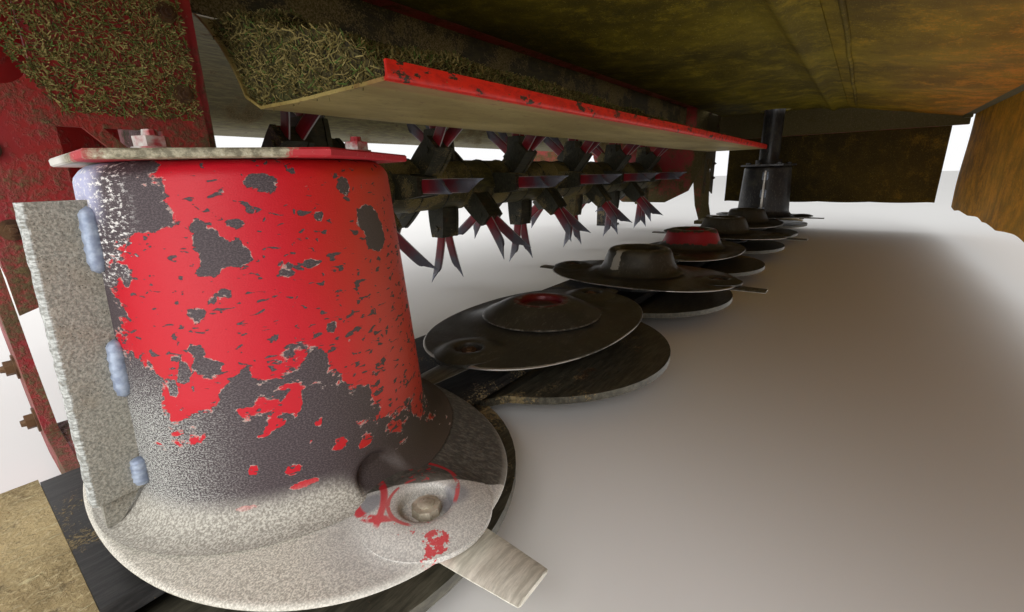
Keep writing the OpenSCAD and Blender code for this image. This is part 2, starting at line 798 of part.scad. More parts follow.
// Each board's pin stands in two lugs on the side plate's rear edge
module board_hinges() {
    color(dull_red) at_line() for (s = [-1, 1]) on_side(s) difference() {
        union() for (z = board_lug_zs) {
            translate([board_x, board_y, z]) cylinder(r = 20, h = board_lug_h);
            box(board_x - 4, side_half - seat, board_y - 4, hood_tail[0] - 6, z,
                z + board_lug_h);
        }
        translate([board_x, board_y, board_lug_zs[0] - 30])
            cylinder(r = pivot_r + run_fit, h = 120);
    }
}

module swath_board(s) {
    color(dull_red) at_line() on_side(s) translate([board_x, board_y, 0])
        rotate(180 - board_in) {
            translate([-2, 26, board_z]) cube([4, board_len - 26, board_h]);
            translate([-3, 4, board_lug_zs[0] + 17]) cube([6, 30, 22]);
            translate([0, 0, board_lug_zs[0] - 6]) cylinder(r = pivot_r, h = 76);
            translate([0, 0, board_lug_zs[0] + board_lug_h + seat])
                cylinder(r = 18, h = board_lug_zs[1] - board_lug_zs[0] - board_lug_h
                    - 2 * seat);
        }
}

cutterbar();
skid_plates();
disc_hubs();
end_frame(1);  // end_frame_right
end_frame(-1);  // end_frame_left
end_shoe(1);  // end_shoe_right
end_shoe(-1);  // end_shoe_left
side_plate(1);  // side_plate_right
side_plate(-1);  // side_plate_left
shelf_hood();
main_beam();
side_rails();
roof_frame();
roof_cover();
rotor_bearings();
belt_guard();
end_panel(1);  // end_panel_right
end_panel(-1);  // end_panel_left
rear_wall();
gearbox_left();
gearbox_centre();
hitch_lugs();
stand_brackets();
board_hinges();
disc(1);  // disc_1
disc(2);  // disc_2
disc(3);  // disc_3
disc(4);  // disc_4
disc(5);  // disc_5
disc(6);  // disc_6
disc(7);  // disc_7
knives(1);  // knives_1
knives(2);  // knives_2
knives(3);  // knives_3
knives(4);  // knives_4
knives(5);  // knives_5
knives(6);  // knives_6
knives(7);  // knives_7
cap(2, cap_low_h);  // cap_2
cap(3, cap_tall_h);  // cap_3
cap(4, cap_tall_h);  // cap_4
cap(5, cap_tall_h);  // cap_5
cap(6, cap_tall_h);  // cap_6
drum(1);  // drum_right
drum(disc_count);  // drum_left
drum_head(1);  // drum_head_right
drum_head(disc_count);  // drum_head_left
rotor_tube();
rotor_tines();
input_shaft();
front_guard_frame();
front_guard_top();
front_curtain();
side_guard_bar(1);  // side_guard_bar_right
side_curtain(1);  // side_curtain_right
side_guard_bar(-1);  // side_guard_bar_left
side_curtain(-1);  // side_curtain_left
stand(1);  // stand_right
stand(-1);  // stand_left
swath_board(1);  // swath_board_right
swath_board(-1);  // swath_board_left
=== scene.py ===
"""Looks of the mower conditioner header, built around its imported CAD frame."""

import json
from functools import cached_property
from math import atan2, copysign, cos, degrees, hypot, pi, radians, sin, sqrt, tau

import bmesh
import bpy
import numpy as np
from mathutils import Matrix, Vector, noise


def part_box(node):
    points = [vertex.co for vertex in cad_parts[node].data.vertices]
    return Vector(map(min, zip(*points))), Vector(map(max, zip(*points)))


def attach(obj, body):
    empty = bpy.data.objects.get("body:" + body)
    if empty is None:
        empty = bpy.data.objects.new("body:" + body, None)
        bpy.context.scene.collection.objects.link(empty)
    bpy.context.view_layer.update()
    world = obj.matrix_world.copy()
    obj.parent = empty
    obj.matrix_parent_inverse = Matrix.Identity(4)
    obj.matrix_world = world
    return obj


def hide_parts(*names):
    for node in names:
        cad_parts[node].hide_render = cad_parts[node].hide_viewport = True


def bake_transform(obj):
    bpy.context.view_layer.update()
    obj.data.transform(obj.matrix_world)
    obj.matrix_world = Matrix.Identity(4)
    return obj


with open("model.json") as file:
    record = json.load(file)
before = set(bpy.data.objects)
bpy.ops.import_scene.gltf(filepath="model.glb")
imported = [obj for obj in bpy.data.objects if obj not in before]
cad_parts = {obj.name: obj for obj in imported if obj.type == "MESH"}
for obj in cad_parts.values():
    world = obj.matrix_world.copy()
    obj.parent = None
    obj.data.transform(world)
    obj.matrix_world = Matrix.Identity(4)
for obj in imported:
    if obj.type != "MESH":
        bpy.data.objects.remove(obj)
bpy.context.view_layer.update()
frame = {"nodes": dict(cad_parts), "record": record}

# Read off the frame: the disc line, the discs' axes and the rotor's axis
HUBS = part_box("disc_hubs")
LINE_Y = (HUBS[0].y + HUBS[1].y) / 2
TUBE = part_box("rotor_tube")
ROTOR = Vector((0, (TUBE[0].y + TUBE[1].y) / 2, (TUBE[0].z + TUBE[1].z) / 2))
DISC_X = {n: sum(corner.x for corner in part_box(f"disc_{n}")) / 2 for n in range(1, 8)}
DISC_LOW, DISC_TOP = 0.081, 0.087
DISC_A, DISC_B = 0.224, 0.152
KNIFE_AT = 0.183
CAP_FOOT = 0.0925
SHELF_Z = 0.417
HOOD_R = 0.306
PANEL_Y = -0.2955
STATIONS = 23
PITCH = 0.0975
UP = (0, 0, 1)


def disc_axis(n):
    return Vector((DISC_X[n], LINE_Y, 0))


def math_node(operation, swapped=False):
    """A method for Wire that adds one Math node."""
    def method(self, *others):
        values = [*others, self] if swapped else [self, *others]
        return self.maker.node("ShaderNodeMath", {"operation": operation},
                               dict(enumerate(values)))
    return method


class Wire:
    """One output in a node tree; Python's arithmetic on it adds Math nodes."""

    __add__ = __radd__ = math_node("ADD")
    __sub__ = math_node("SUBTRACT")
    __rsub__ = math_node("SUBTRACT", swapped=True)
    __mul__ = __rmul__ = math_node("MULTIPLY")
    __truediv__ = math_node("DIVIDE")
    __pow__ = math_node("POWER")
    sine = math_node("SINE")
    span = math_node("ABSOLUTE")
    least = math_node("MINIMUM")
    most = math_node("MAXIMUM")

    def __init__(self, maker, socket):
        self.maker, self.socket = maker, socket

    def part(self, name):
        return Wire(self.maker, self.socket.node.outputs[name])


class Nodes:
    """A node tree while it is being laid."""

    def node(self, kind, settings=None, sockets=None):
        made = self.tree.nodes.new(kind)
        for key, value in (settings or {}).items():
            setattr(made, key, value)
        for key, value in (sockets or {}).items():
            for one in value if isinstance(value, list) else [value]:
                if isinstance(one, Wire):
                    self.tree.links.new(one.socket, made.inputs[key])
                else:
                    made.inputs[key].default_value = one
        return Wire(self, next(o for o in made.outputs if o.enabled))


def tone(colour):
    """Linear colour of a hex code; one that is linear stays."""
    if not isinstance(colour, str):
        return colour
    parts = [int(colour[i:i + 2], 16) / 255 for i in (0, 2, 4)]
    return tuple(p / 12.92 if p <= 0.04045 else ((p + 0.055) / 1.055) ** 2.4 for p in parts)


class Finish(Nodes):
    """A procedural material while its nodes are being laid."""

    def __init__(self, name, **fixed):
        self.material = bpy.data.materials.new(name)
        self.material.use_nodes = True
        self.tree = self.material.node_tree
        self.shader = self.tree.nodes["Principled BSDF"]
        for socket, value in fixed.items():
            self.shader.inputs[socket.replace("_", " ")].default_value = value

    @cached_property
    def place(self):
        return self.node("ShaderNodeTexCoord").part("Object")

    @cached_property
    def axes(self):
        split = self.node("ShaderNodeSeparateXYZ", None, {"Vector": self.place})
        return [split.part(key) for key in "XYZ"]

    def unrolled(self, across, up):
        laid = self.node("ShaderNodeUVMap", {"uv_map": "shell"})
        return self.node("ShaderNodeMapping", None,
                         {"Vector": laid, "Scale": (across, up, 1)})

    def stretched(self, scale, turn=0.0):
        return self.node("ShaderNodeMapping", None, {
            "Vector": self.place, "Scale": scale, "Rotation": (0, 0, turn)})

    def attribute(self, name):
        return self.node("ShaderNodeAttribute", {"attribute_name": name}).part("Fac")

    def noise(self, scale, detail, rough, vector=None, warp=0.0):
        return self.node("ShaderNodeTexNoise", None, {
            "Vector": vector or self.place, "Scale": scale, "Detail": detail,
            "Roughness": rough, "Distortion": warp}).part("Fac")

    def cells(self, scale):
        return self.node("ShaderNodeTexVoronoi", None, {
            "Vector": self.place, "Scale": scale}).part("Distance")

    def step(self, value, low, high):
        """0 below low and 1 above high, smooth between."""
        return self.node("ShaderNodeMapRange", {"interpolation_type": "SMOOTHSTEP"}, {
            "Value": value, "From Min": low, "From Max": high})

    def spots(self, low, high, *noise_as):
        """Where a noise stands above low, fully from high on."""
        return self.step(self.noise(*noise_as), low, high)

    def near(self, value, centre, half):
        """1 at the centre, falling to 0 at half either side."""
        return 1 - self.step((value - centre).span(), half * 0.5, half)

    def coats(self, colour, *laid):
        """A colour with others laid over it in turn, each as (share, colour)."""
        for share, over in laid:
            made = self.tree.nodes.new("ShaderNodeMix")
            made.data_type = "RGBA"
            for index, value in ((0, share), (6, colour), (7, over)):
                if isinstance(value, Wire):
                    self.tree.links.new(value.socket, made.inputs[index])
                else:
                    made.inputs[index].default_value = (*tone(value), 1.0)
            colour = Wire(self, made.outputs[2])
        return colour

    def done(self, relief=None, depth=0.001, strength=1.0, **wires):
        """The material, with a relief of so many metres."""
        if relief:
            wires["Normal"] = self.node("ShaderNodeBump", None, {
                "Height": relief, "Distance": depth, "Strength": strength})
        for socket, wire in wires.items():
            self.tree.links.new(wire.socket, self.shader.inputs[socket.replace("_", " ")])
        return self.material


def drum_paint():
    """Red paint chipped down to primer, gritty and pale towards the foot, with a painted
    bluish highlight high on the near side and painted sunlight on the lit part of the
    flare.
    """
    f = Finish("drum_paint", Specular_IOR_Level=0.35)
    flow = f.unrolled(0.8, 1.3)
    islands = f.noise(34, 6, 0.62, flow, 0.35)
    ragged = f.noise(190, 4, 0.65, flow)
    level = f.attribute("paint") + (islands - 0.5) * 1.15 + (ragged - 0.5) * 0.35
    specks = f.noise(150, 2, 0.5, f.unrolled(0.7, 1.5), 0.7)
    kept = f.step(level, 0.485, 0.5) * (
        1 - f.step(specks + f.attribute("speck") * 0.06, 0.665, 0.68))
    lip = f.near(level, 0.492, 0.03) * f.step(ragged, 0.48, 0.6)
    grit = f.noise(950, 2, 0.7, f.unrolled(0.8, 1.2))
    east, foot, bare = (f.attribute(key) for key in ("east", "foot", "bare"))
    # Painted highlight: a bluish sheen where the bare metal is, high on the near side.
    gleam = f.step(bare, 0.55, 0.95) * f.step(f.axes[2], 0.292, 0.316)
    scratch = f.spots(0.52, 0.6, 330, 5, 0.75, f.unrolled(0.6, 1.2))
    under = f.coats(
        "3d3437", (f.step(grit, 0.4, 0.7), "5f5456"), (east * 0.8, "443a2b"),
        (foot.least(1.0) * f.step(grit + foot * 0.06, 0.5, 0.64), "b6b8b2"),
        (gleam, "b4b6d2"),
        (scratch * (f.step(bare, 0.1, 0.4) * 0.9 + foot * 0.2), "ece9e4"))
    dusk = (east + (f.noise(9, 3, 0.5) - 0.5) * 0.6).most(0.0).least(1.0)
    # Painted sunlight: the pale steel of the sunlit disc, carried onto the lit part of the
    # flare.
    pale = f.coats("8f8a80", (f.spots(0.4, 0.64, 620, 3, 0.7), "cbc7bb"))
    colour = f.coats(under, (kept, f.coats("bb0a20", (dusk, "b0361c"))),
                     (lip * 0.6, "c4b3a9"), (f.attribute("flare"), pale))
    return f.done(kept * 0.5 + grit * 0.3 + ragged * 0.15, 0.0009, 0.75,
                  Base_Color=colour, Roughness=0.62 - kept * 0.24 + grit * 0.12)


def worn_plate(seat):
    """Ground steel, grainy, pale in painted sunlight on its front and dark in painted
    shadow behind, with red left round the near knife seat.
    """
    f = Finish("end_disc_steel")
    x, y, _ = f.axes
    grain = f.noise(820, 2, 0.65)
    swirl = f.noise(300, 5, 0.72, f.stretched((1.5, 0.5, 1)))
    # Painted sunlight and shadow: the mark is 1 on the sunlit front of the disc and 0 on
    # the part behind, which lies in shade.
    dust = f.step(f.attribute("dust") + (f.noise(16, 4, 0.6) - 0.5) * 0.3, 0.42, 0.58)

    def away(across, along):
        u, v = x - (seat.x + across), y - (seat.y + along)
        return (u * u + v * v) ** 0.5, u, v

    def ring(across, along, radius, half, toward, least):
        reach, u, v = away(across, along)
        side = u * toward[0] + v * toward[1]
        return f.near(reach, radius, half) * f.step(side, least, least + 0.004)

    def blob(across, along, radius):
        return f.near(away(across, along)[0], 0.0, radius)

    marks = (ring(0.010, -0.026, 0.049, 0.0022, (-1, 0), 0.02)
             + ring(0.070, -0.073, 0.0705, 0.0036, (-0.5, 0.86), 0.040)
             * f.step(x, seat.x + 0.038, seat.x + 0.034)
             + ring(0.0, -0.028, 0.034, 0.004, (1, 0), 0.024)
             + ring(0.0, -0.002, 0.0255, 0.0018, (0.7, -0.7), 0.006)
             ) * f.spots(0.38, 0.46, 70, 4, 0.6)
    smears = f.step(blob(0.020, 0.033, 0.012) * 0.30 + blob(0.032, 0.037, 0.008) * 0.22
                    + blob(0.02, 0.011, 0.02) * 0.14 + blob(-0.02, -0.03, 0.022) * 0.16
                    + blob(0.04, -0.008, 0.026) * 0.06
                    + f.noise(230, 5, 0.7) - 0.5, 0.24, 0.28)
    greyed = (blob(0.024, -0.035, 0.014) + blob(-0.017, 0.012, 0.015)).least(1.0)
    # dark is the steel in painted shadow, pale the same steel in painted sunlight
    dark = f.coats("4b4842", (f.step(swirl, 0.4, 0.7), "716d64"))
    pale = f.coats("aaa598", (f.step(grain, 0.36, 0.66), "ebe6d8"),
                   (f.step(swirl, 0.56, 0.72) * 0.5, "f2ecd8"),
                   (blob(0, 0, 0.1) * 0.4, "a6a6ab"), (greyed * 0.75, "77777d"))
    # the rim mark lightens the disc's edge and the collars' tops: worn steel with a painted
    # highlight
    colour = f.coats(dark, (dust, pale), (marks.most(smears).least(1.0) * 0.9, "c3202c"),
                     (f.attribute("rim") * 0.4, "c9c5ba"))
    return f.done(grain * 0.35 + swirl * 0.25, 0.0006, 0.6, Base_Color=colour,
                  Roughness=0.5 + dust * 0.12 + grain * 0.08, Metallic=0.3 - dust * 0.25)


def black_plate(name, base="35322b", dusty="5d5748", chips=None):
    """Satin black plate with scuffs, a polished rim lit by a painted highlight, and dust in
    the hollows.
    """
    f = Finish(name)
    scuff = f.noise(70, 6, 0.7, f.stretched((1, 2.4, 1), 0.6))
    dust = f.noise(13, 5, 0.6)
    fine = f.noise(500, 2, 0.6)
    colour = f.coats(base, (f.step(scuff, 0.52, 0.72), "56534b"),
                     (f.step(dust, 0.5, 0.72) * 0.55, dusty))
    if chips:
        shade, amount = chips
        patch = f.step(f.noise(34, 5, 0.62) + (f.attribute("paint") - 0.5) * 0.6,
                       0.62 - amount * 0.1, 0.64 - amount * 0.1)
        colour = f.coats(colour, (patch, shade))
    # The rim is worn steel with a painted highlight on it.
    worn_and_lit = f.step(f.attribute("rim") + (f.noise(70, 4, 0.6) - 0.5) * 0.9, 0.55, 0.8)
    colour = f.coats(colour, (worn_and_lit, "a19d96"), (f.step(fine, 0.66, 0.72) * 0.4, "8b8578"))
    return f.done(scuff * 0.2 + fine * 0.15, 0.0005, 0.5, Base_Color=colour,
                  Roughness=0.3 + f.step(dust, 0.4, 0.7) * 0.25 + fine * 0.08,
                  Metallic=0.15 + worn_and_lit * 0.65)


def painted(name, red="8a1b1e", dirt="3f3220", rust="6a3a20", grime=0.5, gloss=0.45):
    """Farm red paint with rust blooms and dried dirt that thickens downwards."""
    f = Finish(name)
    x, y, z = f.axes
    broad = f.noise(3.6, 6, 0.62)
    mid = f.noise(17, 6, 0.66)
    fine = f.noise(150, 5, 0.7)
    inner = (f.step(y, LINE_Y - 0.37, LINE_Y - 0.33) * f.step(z, 0.665, 0.64)
             * f.step(x, 1.2, 1.19) * f.step(x, -1.5, -1.495))
    dirty = f.step(broad * 0.55 + mid * 0.45 + f.step(z, 0.75, 0.05) * 0.14 + inner * 0.24
                   + (fine - 0.5) * 0.4, 0.58 - grime * 0.2, 0.76 - grime * 0.2)
    rusty = f.step(mid + (fine - 0.5) * 0.6, 0.6, 0.7)
    runs = f.spots(0.55, 0.75, 90, 6, 0.75, f.stretched((1, 1, 0.2)))
    soil = f.coats("5d5034", (f.step(f.cells(210), 0.1, 0.5), dirt),
                   (f.step(fine, 0.55, 0.72) * 0.6, "8b7b50"))
    colour = f.coats(red, (f.step(broad, 0.35, 0.65), "a52a22"), (runs * 0.35, "5c1a18"),
                     (rusty * 0.85, rust), (dirty, soil))
    return f.done(dirty * 0.5 + fine * dirty * 0.6 + rusty * 0.2, 0.0014, 0.8,
                  Base_Color=colour,
                  Roughness=gloss + dirty * (0.85 - gloss) + rusty * 0.15)


def bare_iron(name, dark, light, muddy=0.35, mud="6a5a3f", metal=0.55, rough=0.5):
    """Bare or blackened steel with brushing, rust in patches and dried mud."""
    f = Finish(name)
    brushed = f.noise(120, 5, 0.7, f.stretched((0.25, 2.0, 1.0)))
    fine = f.noise(330, 4, 0.7)
    caked = f.step(f.noise(6, 6, 0.65) + (fine - 0.5) * 0.35, 0.66 - muddy * 0.3,
                   0.72 - muddy * 0.3)
    rusty = f.step(f.noise(24, 6, 0.65) + (fine - 0.5) * 0.3, 0.6, 0.68)
    soil = f.coats(mud, (f.step(fine, 0.4, 0.68), "94815b"))
    colour = f.coats(dark, (f.step(brushed, 0.35, 0.7), light), (rusty * 0.6, "55341f"),
                     (caked * 0.9, soil))
    return f.done(brushed * 0.25 + fine * 0.2 + caked * 0.6, 0.0009, 0.7, Base_Color=colour,
                  Roughness=rough + caked * 0.3 + brushed * 0.12,
                  Metallic=metal - caked * metal)


def tarpaulin(name, dark, base, light, glow, glow_from, streak=(1, 1, 1)):
    """Coated cloth, stained and dusty, with painted sunlight glowing orange through it in
    patches, more towards one side.
    """
    f = Finish(name, Specular_IOR_Level=0.15)
    x, y, z = f.axes
    broad = f.noise(2.6, 7, 0.66, f.stretched(streak))
    mid = f.noise(13, 7, 0.72, f.stretched(streak))
    fine = f.noise(190, 4, 0.7, f.stretched(streak))
    turn = tau / 0.0022
    threads = ((x * turn).sine() * ((y + z) * turn).sine()) * 0.5 + 0.5
    # Painted light: sunny and the patches mark where sunlight glows orange through the
    # cloth.
    sunny = f.step(y, *glow_from)
    worn_and_lit = f.step(mid + (fine - 0.5) * 0.7 + sunny * 0.2, 0.6, 0.8)
    flecks = f.spots(0.66, 0.7, 330, 2, 0.5, f.stretched((0.45, 1.6, 1), 0.5))
    colour = f.coats(
        dark, (f.step(broad, 0.34, 0.68), base),
        (f.step(mid + (fine - 0.5) * 0.4, 0.46, 0.74) * 0.7, light),
        (f.step(mid, 0.48, 0.3) * 0.5, dark), (worn_and_lit * (sunny * 0.75 + 0.12), glow),
        (sunny * 0.25, glow), (flecks * 0.45, "b9a85c"))
    return f.done(threads * 0.25 + fine * 0.5 + mid * 0.5, 0.0012, 0.7,
                  Base_Color=colour, Roughness=0.66 + fine * 0.2)


def shelf_finish():
    """Olive sheet, stained and smooth underneath, with the red paint of its lip."""
    f = Finish("shelf_sheet")
    lip_y, y = LINE_Y + 0.005, f.axes[1]
    broad = f.noise(5, 6, 0.62, f.stretched((0.5, 1.4, 1)))
    fine = f.noise(120, 5, 0.7, f.stretched((0.4, 1.5, 1)))
    chips = f.spots(0.57, 0.61, 60, 6, 0.66, f.stretched((0.5, 1, 1)))
    edge = f.step(y + (broad - 0.5) * 0.004 + (fine - 0.5) * 0.004, lip_y - 0.0075,
                  lip_y - 0.0045)
    stain = f.near(y + (broad - 0.5) * 0.05, lip_y - 0.015, 0.03) * 0.3
    belly = f.coats("998445", (f.step(broad, 0.35, 0.68), "c4b06c"),
                    (f.step(fine, 0.52, 0.7) * 0.4, "6a5a30"), (stain, "9c4a34"),
                    (f.spots(0.62, 0.68, 36, 5, 0.7) * 0.7, "7a5228"))
    coat = f.coats("e02a18", (f.step(fine, 0.4, 0.7), "b81e18"), (chips, "3a3020"))
    return f.done(fine * 0.2 + broad * 0.4 + chips * edge * -0.3, 0.001, 0.6,
                  Base_Color=f.coats(belly, (edge, coat)),
                  Roughness=0.5 - edge * 0.12 + fine * 0.15)


def chaff_finish():
    """Dried clippings: straw, olive and a few green, shaded clipping by clipping."""
    f = Finish("dried_clippings")
    shade = f.attribute("shade")
    fine = f.noise(600, 2, 0.6)
    colour = f.coats("4f4a22", (f.step(shade, 0.0, 0.45), "8a7d42"),
                     (f.step(shade, 0.45, 0.8), "b5a566"),
                     (f.step(shade, 0.86, 0.9), "5f7d33"), (fine * 0.35, "40371f"))
    return f.done(fine, 0.0004, 0.5, Base_Color=colour, Roughness=0.75 + fine * 0.1)


def packed_dirt():
    """Matted dirt and clippings on the shelf."""
    f = Finish("shelf_dirt")
    mats = f.noise(75, 6, 0.72, f.stretched((1, 0.5, 1), 0.4))
    fine = f.noise(420, 3, 0.7, f.stretched((0.4, 1.6, 1), 0.9))
    colour = f.coats("2c2614", (f.step(mats, 0.36, 0.62), "5a5029"),
                     (f.step(fine, 0.52, 0.68) * 0.8, "8a7d46"),
                     (f.spots(0.55, 0.7, 11, 5, 0.6) * 0.45, "4a5a24"))
    return f.done(mats * 0.8 + fine * 0.7, 0.004, Base_Color=colour,
                  Roughness=0.85 + fine * 0.1)


def tine_finish():
    """Red at the root, then heat purple, worn to dark steel with ground edges."""
    f = Finish("tine_wear")
    _, y, z = f.axes
    out = ((y - ROTOR.y) ** 2.0 + (z - ROTOR.z) ** 2.0) ** 0.5
    blot = f.noise(42, 5, 0.66)
    fine = f.noise(260, 4, 0.7)
    where = out + (blot - 0.5) * 0.08
    ground = f.step(f.attribute("rim") + (fine - 0.5) * 0.3, 0.75, 0.95)
    colour = f.coats("8d1824", (f.step(where, 0.16, 0.2), "66222f"),
                     (f.step(where, 0.2, 0.24), "4d4a54"),
                     (f.step(where, 0.255, 0.285), "6d7484"),
                     (f.step(fine, 0.6, 0.72) * 0.5, "2a2528"), (ground * 0.8, "aeb0ae"))
    return f.done(fine * 0.3 + blot * 0.2, 0.0006, 0.6, Base_Color=colour,
                  Roughness=0.45 + fine * 0.15)


def weld_finish():
    """Blued weld metal with ripples."""
    f = Finish("lift_bar_weld")
    ripple = f.noise(150, 3, 0.6)
    return f.done(ripple, 0.0005, 0.5, Metallic=0.15 + ripple * 0.2,
                  Base_Color=f.coats("7f8aa0", (f.step(ripple, 0.3, 0.72), "a9b5c6")),
                  Roughness=0.42 + ripple * 0.2)


def bar_finish():
    """Rough grey lift bar, its outer edge beaten white."""
    f = Finish("lift_bar_steel")
    pits = f.cells(520)
    fine = f.noise(620, 4, 0.75)
    broad = f.noise(40, 4, 0.6)
    torn = f.noise(240, 5, 0.75, f.stretched((0.6, 0.6, 2.2)))
    edge = f.step(f.attribute("rim") + (torn - 0.5) * 1.1, 0.78, 1.0)
    colour = f.coats(
        "75736a", (f.step(fine, 0.36, 0.64), "a7a397"),
        (f.step(broad, 0.45, 0.7) * 0.35, "8a7d68"),
        (f.step(pits, 0.24, 0.1) * f.step(broad, 0.42, 0.55), "3b382f"),
        (edge, f.coats("7d7f7b", (f.step(torn, 0.4, 0.62), "c9cbc6"))))
    return f.done(pits * 0.4 + fine * 0.6, 0.0009, 0.8, Base_Color=colour,
                  Roughness=0.62 + fine * 0.2)


def caked_mud():
    """Dried mud in soft clods with straw pressed into it."""
    f = Finish("shoe_mud")
    clods = f.noise(26, 7, 0.68)
    fine = f.noise(230, 5, 0.72)
    straw = f.spots(0.6, 0.66, 150, 3, 0.6, f.stretched((0.25, 1.8, 1), 0.7))
    colour = f.coats("8d7a52", (f.spots(0.36, 0.64, 7, 6, 0.65), "bfa97a"),
                     (f.step(clods, 0.46, 0.36) * 0.8, "54452b"),
                     (f.step(fine, 0.5, 0.66) * 0.7, "d6c499"), (straw * 0.6, "e0d2a2"))
    return f.done(clods * 1.2 + fine * 0.4 + straw * 0.2, 0.006, Base_Color=colour,
                  Roughness=0.85 + fine * 0.1)


def plate_edge():
    """Dressed edge of the head plate: pale steel, olive grime and two runs of red."""
    f = Finish("head_plate_edge")
    x, y, _ = f.axes
    fine = f.noise(240, 5, 0.72)
    broad = f.noise(22, 5, 0.62)
    ragged = (fine - 0.5) * 0.02 + (broad - 0.5) * 0.03
    red = f.step(x + ragged, 1.318, 1.312) + f.near(y + ragged, LINE_Y + 0.037, 0.032)
    colour = f.coats("6b6550", (f.step(fine, 0.38, 0.62), "a8a188"),
                     (f.step(y, LINE_Y + 0.01, LINE_Y - 0.03), "d6d3cb"),
                     (red.least(1.0) * f.step(broad, 0.36, 0.42), "b01e28"),
                     (f.step(fine, 0.6, 0.7) * 0.6, "e0dccf"))
    return f.done(fine, 0.0008, 0.7, Base_Color=colour, Roughness=0.55 + fine * 0.15)


def bolt_finish(name, base, light):
    """Zinc or rust on a bolt, browned unevenly."""
    f = Finish(name)
    fine = f.noise(420, 4, 0.7)
    colour = f.coats(base, (f.spots(0.38, 0.62, 60, 4, 0.6), light),
                     (f.step(fine, 0.56, 0.7) * 0.6, "5a3a22"))
    return f.done(fine, 0.0005, 0.7, Base_Color=colour, Roughness=0.45 + fine * 0.25,
                  Metallic=0.6 - fine * 0.3)


def floor_finish():
    """Pale studio paper with the faintest mottling."""
    f = Finish("floor_paper")
    cloud = f.noise(1.5, 3, 0.5)
    return f.done(Base_Color=f.coats((0.80, 0.79, 0.77), (cloud, (0.83, 0.82, 0.80))),
                  Roughness=0.85 + cloud * 0.1)


# Meshes: points and faces first, then one finished piece

def polar(radius, angle, z=0.0):
    """A point by its radius and its angle round the upright axis."""
    return Vector((radius * cos(angle), radius * sin(angle), z))


def skin(rings, closed=False, open_ends=False):
    """Quads between neighbouring rings of equal count."""
    count = len(rings[0])
    faces = []
    for r in range(len(rings) if closed else len(rings) - 1):
        a, b = r * count, (r + 1) % len(rings) * count
        for i in range(count - 1 if open_ends else count):
            j = (i + 1) % count
            faces.append((a + i, a + j, b + j, b + i))
    return [p for ring in rings for p in ring], faces


def drawn_in(rings):
    """Rings with both ends drawn in to their middles."""
    first, last = ([sum(ring, Vector()) / len(ring)] * len(ring)
                   for ring in (rings[0], rings[-1]))
    return [first, *rings, last]


def together(*shapes):
    points, faces = [], []
    for more, around in shapes:
        start = len(points)
        points += more
        faces += [tuple(start + i for i in face) for face in around]
    return points, faces


def circle(centre, radius, height, count, turn=0.0):
    return [Vector((centre.x, centre.y, 0)) + polar(radius, turn + tau * i / count, height)
            for i in range(count)]


def turned(centre, profile, count=96, closed=False, turn=0.0):
    """A shape turned on a lathe about the upright axis through centre."""
    return skin([circle(centre, r, z, count, turn) for r, z in profile], closed)


def spaced(low, high, steps):
    return [low + (high - low) * i / steps for i in range(steps + 1)]


def arc(r0, z0, radius, start, stop, steps):
    """Points of an arc round (r0, z0), from start to stop in degrees."""
    return [(r0 + radius * cos(radians(a)), z0 + radius * sin(radians(a)))
            for a in spaced(start, stop, steps)]


def link(data, name):
    made = bpy.data.objects.new(name, data)
    bpy.context.scene.collection.objects.link(made)
    return made


def merged(mesh, gap=1e-6):
    """Doubles merged and faces turned outwards."""
    work = bmesh.new()
    work.from_mesh(mesh)
    bmesh.ops.remove_doubles(work, verts=work.verts, dist=gap)
    bmesh.ops.dissolve_degenerate(work, edges=work.edges, dist=1e-7)
    bmesh.ops.recalc_face_normals(work, faces=work.faces)
    work.to_mesh(mesh)
    work.free()


def raw_piece(name, shape):
    mesh = bpy.data.meshes.new(name)
    mesh.from_pydata([tuple(p) for p in shape[0]], [], shape[1])
    return link(mesh, name)


def ridden(made, body, replaced=()):
    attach(made, body)
    if replaced:
        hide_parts(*replaced)
    return made


def smoothed(made, crease):
    made.data.shade_smooth()
    made.data.set_sharp_from_angle(angle=radians(crease))


def piece(name, body, finish, shape, replaced=(), crease=35):
    """A finished mesh on its body."""
    made = raw_piece(name, shape)
    merged(made.data)
    made.data.materials.append(finish)
    smoothed(made, crease)
    return ridden(made, body, replaced)


def marked(made, name, rule):
    """A value for every point, which its finish reads."""
    values = made.data.attributes.new(name, "FLOAT", "POINT")
    values.data.foreach_set("value", [rule(v.co) for v in made.data.vertices])


def evaluated(made):
    """The object's modifiers become its mesh."""
    bpy.context.view_layer.update()
    graph = bpy.context.evaluated_depsgraph_get()
    mesh = bpy.data.meshes.new_from_object(made.evaluated_get(graph),
                                           preserve_all_data_layers=True, depsgraph=graph)
    made.modifiers.clear()
    made.data = mesh
    mesh.name = made.name


def rise(value, low, high):
    """0 below low and 1 above high, smooth between."""
    part = min(max((value - low) / (high - low), 0.0), 1.0)
    return part * part * (3 - 2 * part)


